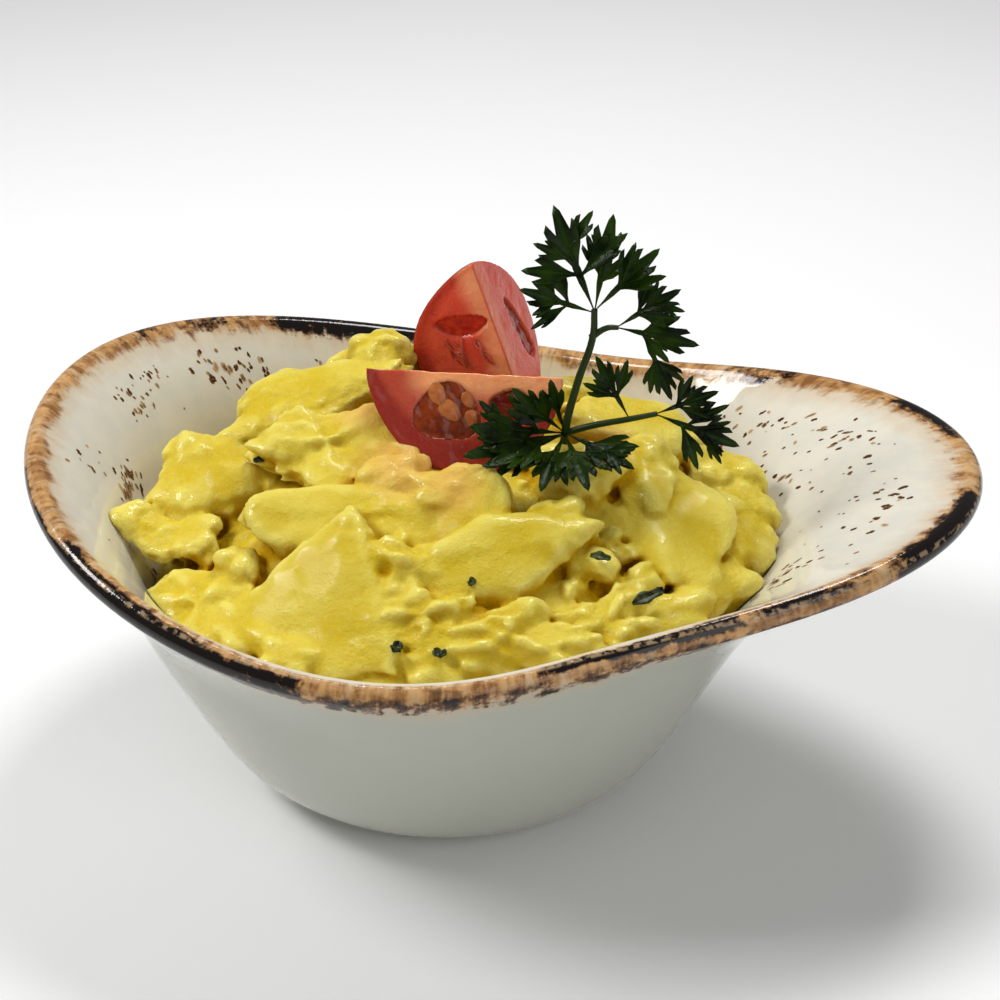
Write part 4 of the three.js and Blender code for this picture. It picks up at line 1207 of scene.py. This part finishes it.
def add_leaflet(bm, layer, draw, base, tip, normal=FRONT, pairs=1, spread=42, reach=0.5):
    """A leaflet: a middle lobe and pairs of side lobes on a narrow midrib, with gaps between them."""
    base, tip, up = Vector(base), Vector(tip), Vector(normal).normalized()
    along = tip - base
    length = along.length
    along.normalize()
    side = along.cross(up).normalized()
    lift = side.cross(along)

    def bent(share):
        return base + along * (share * length) + lift * (0.6 * math.sin(math.pi * share))

    add_lobe(bm, layer, base, bent(0.6), length * 0.07, up)
    width = length * (0.32 if pairs else 0.38)
    add_lobe(bm, layer, bent(0.34), bent(1.0), width, up, draw.uniform(-0.1, 0.05))
    for k in range(pairs):
        share = 0.34 + 0.24 * k
        size = (reach - 0.13 * k) * length * 1.05
        for sign in (-1, 1):
            turn = math.radians(spread - 3 * k) * sign * draw.uniform(0.85, 1.15)
            root = bent(share * draw.uniform(0.85, 1.1))
            heading = along * math.cos(turn) + side * math.sin(turn)
            end = root + heading * size * draw.uniform(0.9, 1.08) + lift * draw.uniform(-1, 1)
            tilt = up + heading.cross(up) * draw.uniform(-0.35, 0.35)
            add_lobe(bm, layer, root, end, size * draw.uniform(0.42, 0.52), tilt, draw.uniform(-0.15, 0.1))


def add_stalk(bm, points, radius):
    """A round stalk along a smooth line, a little thinner at its end."""
    curve = bpy.data.curves.new("stalk", "CURVE")
    curve.dimensions = "3D"
    curve.bevel_depth = radius * MM
    curve.bevel_resolution = 3
    curve.use_fill_caps = True
    line = curve.splines.new("BEZIER")
    line.bezier_points.add(len(points) - 1)
    for number, (knot, place) in enumerate(zip(line.bezier_points, points)):
        knot.co = metres(*place)
        knot.handle_left_type = knot.handle_right_type = "AUTO"
        knot.radius = 1 - 0.3 * number / (len(points) - 1)
    mesh = settled(link_new("stalk", curve))
    bm.from_mesh(mesh)
    bpy.data.meshes.remove(mesh)


def build_leaves():
    bm = bmesh.new()
    layer = bm.verts.layers.float.new("from_vein")
    draw = random.Random(5)
    for leaflet in LEAFLETS:
        add_leaflet(bm, layer, draw, **leaflet)
    return closed("parsley_leaves", bm)


def build_stalks():
    bm = bmesh.new()
    for stalk in STALKS:
        add_stalk(bm, stalk["points"], stalk["radius"])
    return closed("parsley_stalks", bm, merge=True)


def parsley_finish(settings):
    finish = Finish("parsley leaf")
    place = finish.object_mm()
    vein = finish.attribute("from_vein")
    patch = finish.noise(place, 6, 2, 0.5)
    colour = finish.mix(finish.step(patch, 0.36, 0.66), settings.leaf_dark, settings.leaf_green)
    colour = finish.mix(finish.step(vein, 0.25, 0.0, 0.0, 0.5), colour, settings.leaf_vein)
    finish.set(Base_Color=colour, Roughness=0.22, Specular_IOR_Level=0.1, Subsurface_Weight=0.1,
               Subsurface_Scale=1.0, Subsurface_Radius=(0.0006, 0.001, 0.0002))
    finish.set(Normal=finish.bump(finish.noise(place, 0.9, 3, 0.6), 0.3 * MM, 0.6))
    return finish.material


def scrap_finish(settings):
    finish = Finish("cooked herb")
    patch = finish.noise(finish.object_mm(), 1.2, 3, 0.6)
    colour = finish.mix(finish.step(patch, 0.35, 0.65), settings.leaf_dark, settings.scrap_olive)
    finish.set(Base_Color=colour, Roughness=0.35, Specular_IOR_Level=0.2)
    return finish.material


def stalk_finish(settings):
    finish = Finish("parsley stalk")
    place = finish.object_mm()
    patch = finish.noise(place, 4, 3, 0.6)
    finish.set(Base_Color=finish.mix(patch, settings.stalk_green, settings.leaf_green), Roughness=0.35,
               Specular_IOR_Level=0.25)
    return finish.material


# ---------------------------------------------------------------- settings
def colour_property(name, description, default):
    return FloatVectorProperty(name=name, description=description, subtype="COLOR", size=3, min=0, max=1,
                               default=default)


def number_property(name, description, default, low, high, unit="NONE"):
    return FloatProperty(name=name, description=description, default=default, min=low, max=high, unit=unit)


class BowlSettings(bpy.types.PropertyGroup):
    sides: IntProperty(name="Sides", description="Steps round the bowl", default=320, min=48, max=720)
    speckles: number_property("Speckles", "How many speckles, 1 as made", 1.0, 0, 3)
    glaze_inside: colour_property("Inside", "Glaze inside the bowl", (0.68, 0.66, 0.57))
    glaze_cream: colour_property("Cream", "Warmer patches of the inside glaze", (0.73, 0.69, 0.58))
    # The outside glaze is darker than the inside glaze as painted shade.
    shaded_glaze_outside: colour_property("Outside", "Glaze outside the bowl", (0.445, 0.45, 0.38))
    rim_halo: colour_property("Halo", "Thin stain beside the rim band", (0.60, 0.42, 0.24))
    rim_tan: colour_property("Tan", "Lighter parts of the rim band", (0.58, 0.33, 0.13))
    rim_brown: colour_property("Brown", "Strokes in the rim band", (0.24, 0.10, 0.03))
    rim_dark_brown: colour_property("Dark brown", "Edges of the rim band and speckles", (0.075, 0.028, 0.01))
    rim_black: colour_property("Black", "Burnt arcs of the rim", (0.008, 0.005, 0.004))


class SaladSettings(bpy.types.PropertyGroup):
    relief: number_property("Relief", "Height of the uneven surface, 1 as served", 1.0, 0, 3)
    seams: number_property("Seams", "Depth of the seams between pieces in millimetres", 1.0, 0, 3)
    crumbs: IntProperty(name="Crumbs", description="Small lumps between the slices", default=80, min=0,
                        max=400)
    potato_pale: colour_property("Pale", "Lit potato", (0.67, 0.525, 0.055))
    potato_yellow: colour_property("Yellow", "Deeper potato", (0.61, 0.445, 0.016))
    # Painted shade in creases and on steep flanks.
    shaded_potato_gold: colour_property("Gold", "Creases", (0.50, 0.285, 0.002))
    # Painted shade in the deepest hollows and in the seams between pieces.
    shaded_potato_brown: colour_property("Brown gold", "Deepest hollows", (0.20, 0.072, 0.001))
    # Cream for the clinging dressing, and for the painted light on ridges and edges.
    cream_dressing_and_edge_light: colour_property("Cream", "Dressing that clings", (0.78, 0.68, 0.14))
    tomato_stain: colour_property("Stain", "Potato beside the tomato", (0.74, 0.38, 0.11))


class ParsleySettings(bpy.types.PropertyGroup):
    thickness: number_property("Thickness", "Thickness of a leaf", 0.0003, 0.0001, 0.001, "LENGTH")
    leaf_dark: colour_property("Dark", "Shaded leaf", (0.0015, 0.005, 0.0008))
    leaf_green: colour_property("Green", "Lit leaf", (0.016, 0.036, 0.002))
    leaf_vein: colour_property("Vein", "Middle of each lobe", (0.022, 0.055, 0.006))
    stalk_green: colour_property("Stalk", "Stalks", (0.012, 0.030, 0.003))
    scrap_olive: colour_property("Scrap", "Cooked herb on the salad", (0.06, 0.075, 0.012))


class TableSettings(bpy.types.PropertyGroup):
    floor: colour_property("Floor", "Pale floor", (0.93, 0.93, 0.93))
    sky: number_property("Room light", "Strength of the even light", 0.2, 0, 5)
    key: number_property("Window light", "Power of the large soft light", 2.9, 0, 200, "POWER")
    lens: number_property("Lens", "Focal length", 83.7, 10, 300, "CAMERA")


# ---------------------------------------------------------------- operators
class BOWL_OT_glazed(bpy.types.Operator):
    """Build the glazed bowl with its brushed rim"""

    bl_idname = "potato_salad.bowl"
    bl_label = "Glazed bowl"

    def execute(self, context):
        settings = context.scene.served_bowl
        dressed("glazed_bowl", build_bowl(settings), bowl_finish(settings), ["bowl"])
        dressed("glaze_speckles", build_speckles(settings), speckle_finish(settings))
        return {"FINISHED"}


class BOWL_OT_salad(bpy.types.Operator):
    """Build the heap of potato salad and the herb scraps on it"""

    bl_idname = "potato_salad.salad"
    bl_label = "Potato salad"

    def execute(self, context):
        settings = context.scene.served_salad
        dressed("salad_heap", build_salad(settings), salad_finish(settings), ["potato_salad"])
        dressed("herb_scraps", build_scraps(), scrap_finish(context.scene.served_parsley))
        return {"FINISHED"}


class BOWL_OT_tomato(bpy.types.Operator):
    """Build the two tomato wedges with their jelly and seeds"""

    bl_idname = "potato_salad.tomato"
    bl_label = "Tomato wedges"

    def execute(self, context):
        flesh = tomato_finish()
        jellies = {name: jelly_finish(name) for name in JELLY_COLOURS}
        for place, wedge in WEDGES.items():
            dressed(f"{place}_wedge", build_flesh(place, wedge), flesh,
                    [f"tomato_{place}_flesh"])
            for side, pocket in wedge["pockets"].items():
                dressed(f"{place}_wedge_jelly_{side}", build_jelly(place, side, wedge),
                        jellies[pocket["jelly"]], [f"tomato_{place}_jelly_{side}"])
        dressed("tomato_seeds", build_seeds(), jellies["tomato seeds"])
        dressed("tomato_strings", build_strings(), jellies["strings of jelly"])
        return {"FINISHED"}


class BOWL_OT_parsley(bpy.types.Operator):
    """Build the sprig of parsley"""

    bl_idname = "potato_salad.parsley"
    bl_label = "Parsley sprig"

    def execute(self, context):
        settings = context.scene.served_parsley
        leaves = dressed("parsley_leaves", build_leaves(), parsley_finish(settings),
                         ["parsley_sprig"])
        thick = leaves.modifiers.new("leaf thickness", "SOLIDIFY")
        thick.thickness = settings.thickness
        thick.offset = 0
        dressed("parsley_stalks", build_stalks(), stalk_finish(settings), ["parsley_sprig"])
        return {"FINISHED"}


class BOWL_OT_table(bpy.types.Operator):
    """Lay the pale floor and set the camera and the soft lights"""

    bl_idname = "potato_salad.table"
    bl_label = "Table, lights and camera"

    def execute(self, context):
        settings = context.scene.served_table
        scene = context.scene
        bm = bmesh.new()
        bmesh.ops.create_grid(bm, x_segments=1, y_segments=1, size=4)
        floor = link_new("floor", mesh_from("floor", bm))
        pale = Finish("pale floor")
        pale.set(Base_Color=(*settings.floor, 1), Roughness=0.6)
        floor.data.materials.append(pale.material)
        world = bpy.data.worlds.new("soft room")
        scene.world = world
        world.use_nodes = True
        light_all_round = world.node_tree.nodes["Background"].inputs
        light_all_round["Color"].default_value = (1, 1, 1, 1)
        light_all_round["Strength"].default_value = settings.sky
        scene.view_settings.view_transform = "Standard"
        target = Vector(CAMERA_TARGET) * MM
        for name, place, size, share in LIGHTS:
            light = bpy.data.lights.new(name, "AREA")
            light.shape = "SQUARE"
            light.size = size
            light.energy = settings.key * share
            holder = bpy.data.objects.new(name, light)
            scene.collection.objects.link(holder)
            holder.location = place
            holder.rotation_euler = (target - Vector(place)).to_track_quat("-Z", "Y").to_euler()
        camera = bpy.data.cameras.new("camera")
        camera.lens = settings.lens
        camera.sensor_width = 36
        camera.clip_start, camera.clip_end = 0.01, 20
        eye = bpy.data.objects.new("camera", camera)
        scene.collection.objects.link(eye)
        eye.location = Vector(CAMERA_EYE) * MM
        eye.rotation_euler = (target - eye.location).to_track_quat("-Z", "Y").to_euler()
        scene.camera = eye
        return {"FINISHED"}


class BOWL_PT_panel(bpy.types.Panel):
    """The steps of the served bowl, in order"""

    bl_idname = "BOWL_PT_panel"
    bl_label = "Bowl of potato salad"
    bl_space_type = "VIEW_3D"
    bl_region_type = "UI"
    bl_category = "Potato salad"

    def draw(self, context):
        for step in STEPS:
            self.layout.operator(step.bl_idname, text=step.bl_label)


SETTINGS = {
    "served_bowl": BowlSettings,
    "served_salad": SaladSettings,
    "served_parsley": ParsleySettings,
    "served_table": TableSettings,
}
STEPS = (BOWL_OT_table, BOWL_OT_glazed, BOWL_OT_salad, BOWL_OT_tomato, BOWL_OT_parsley)


def register():
    for cls in (*SETTINGS.values(), *STEPS, BOWL_PT_panel):
        bpy.utils.register_class(cls)
    for name, group in SETTINGS.items():
        setattr(bpy.types.Scene, name, PointerProperty(type=group))


def unregister():
    for name in SETTINGS:
        delattr(bpy.types.Scene, name)
    for cls in reversed((*SETTINGS.values(), *STEPS, BOWL_PT_panel)):
        bpy.utils.unregister_class(cls)


def main():
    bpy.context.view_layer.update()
    register()
    bpy.ops.potato_salad.table()
    bpy.ops.potato_salad.bowl()
    bpy.ops.potato_salad.salad()
    bpy.ops.potato_salad.tomato()
    bpy.ops.potato_salad.parsley()


if __name__ == "__main__":
    main()
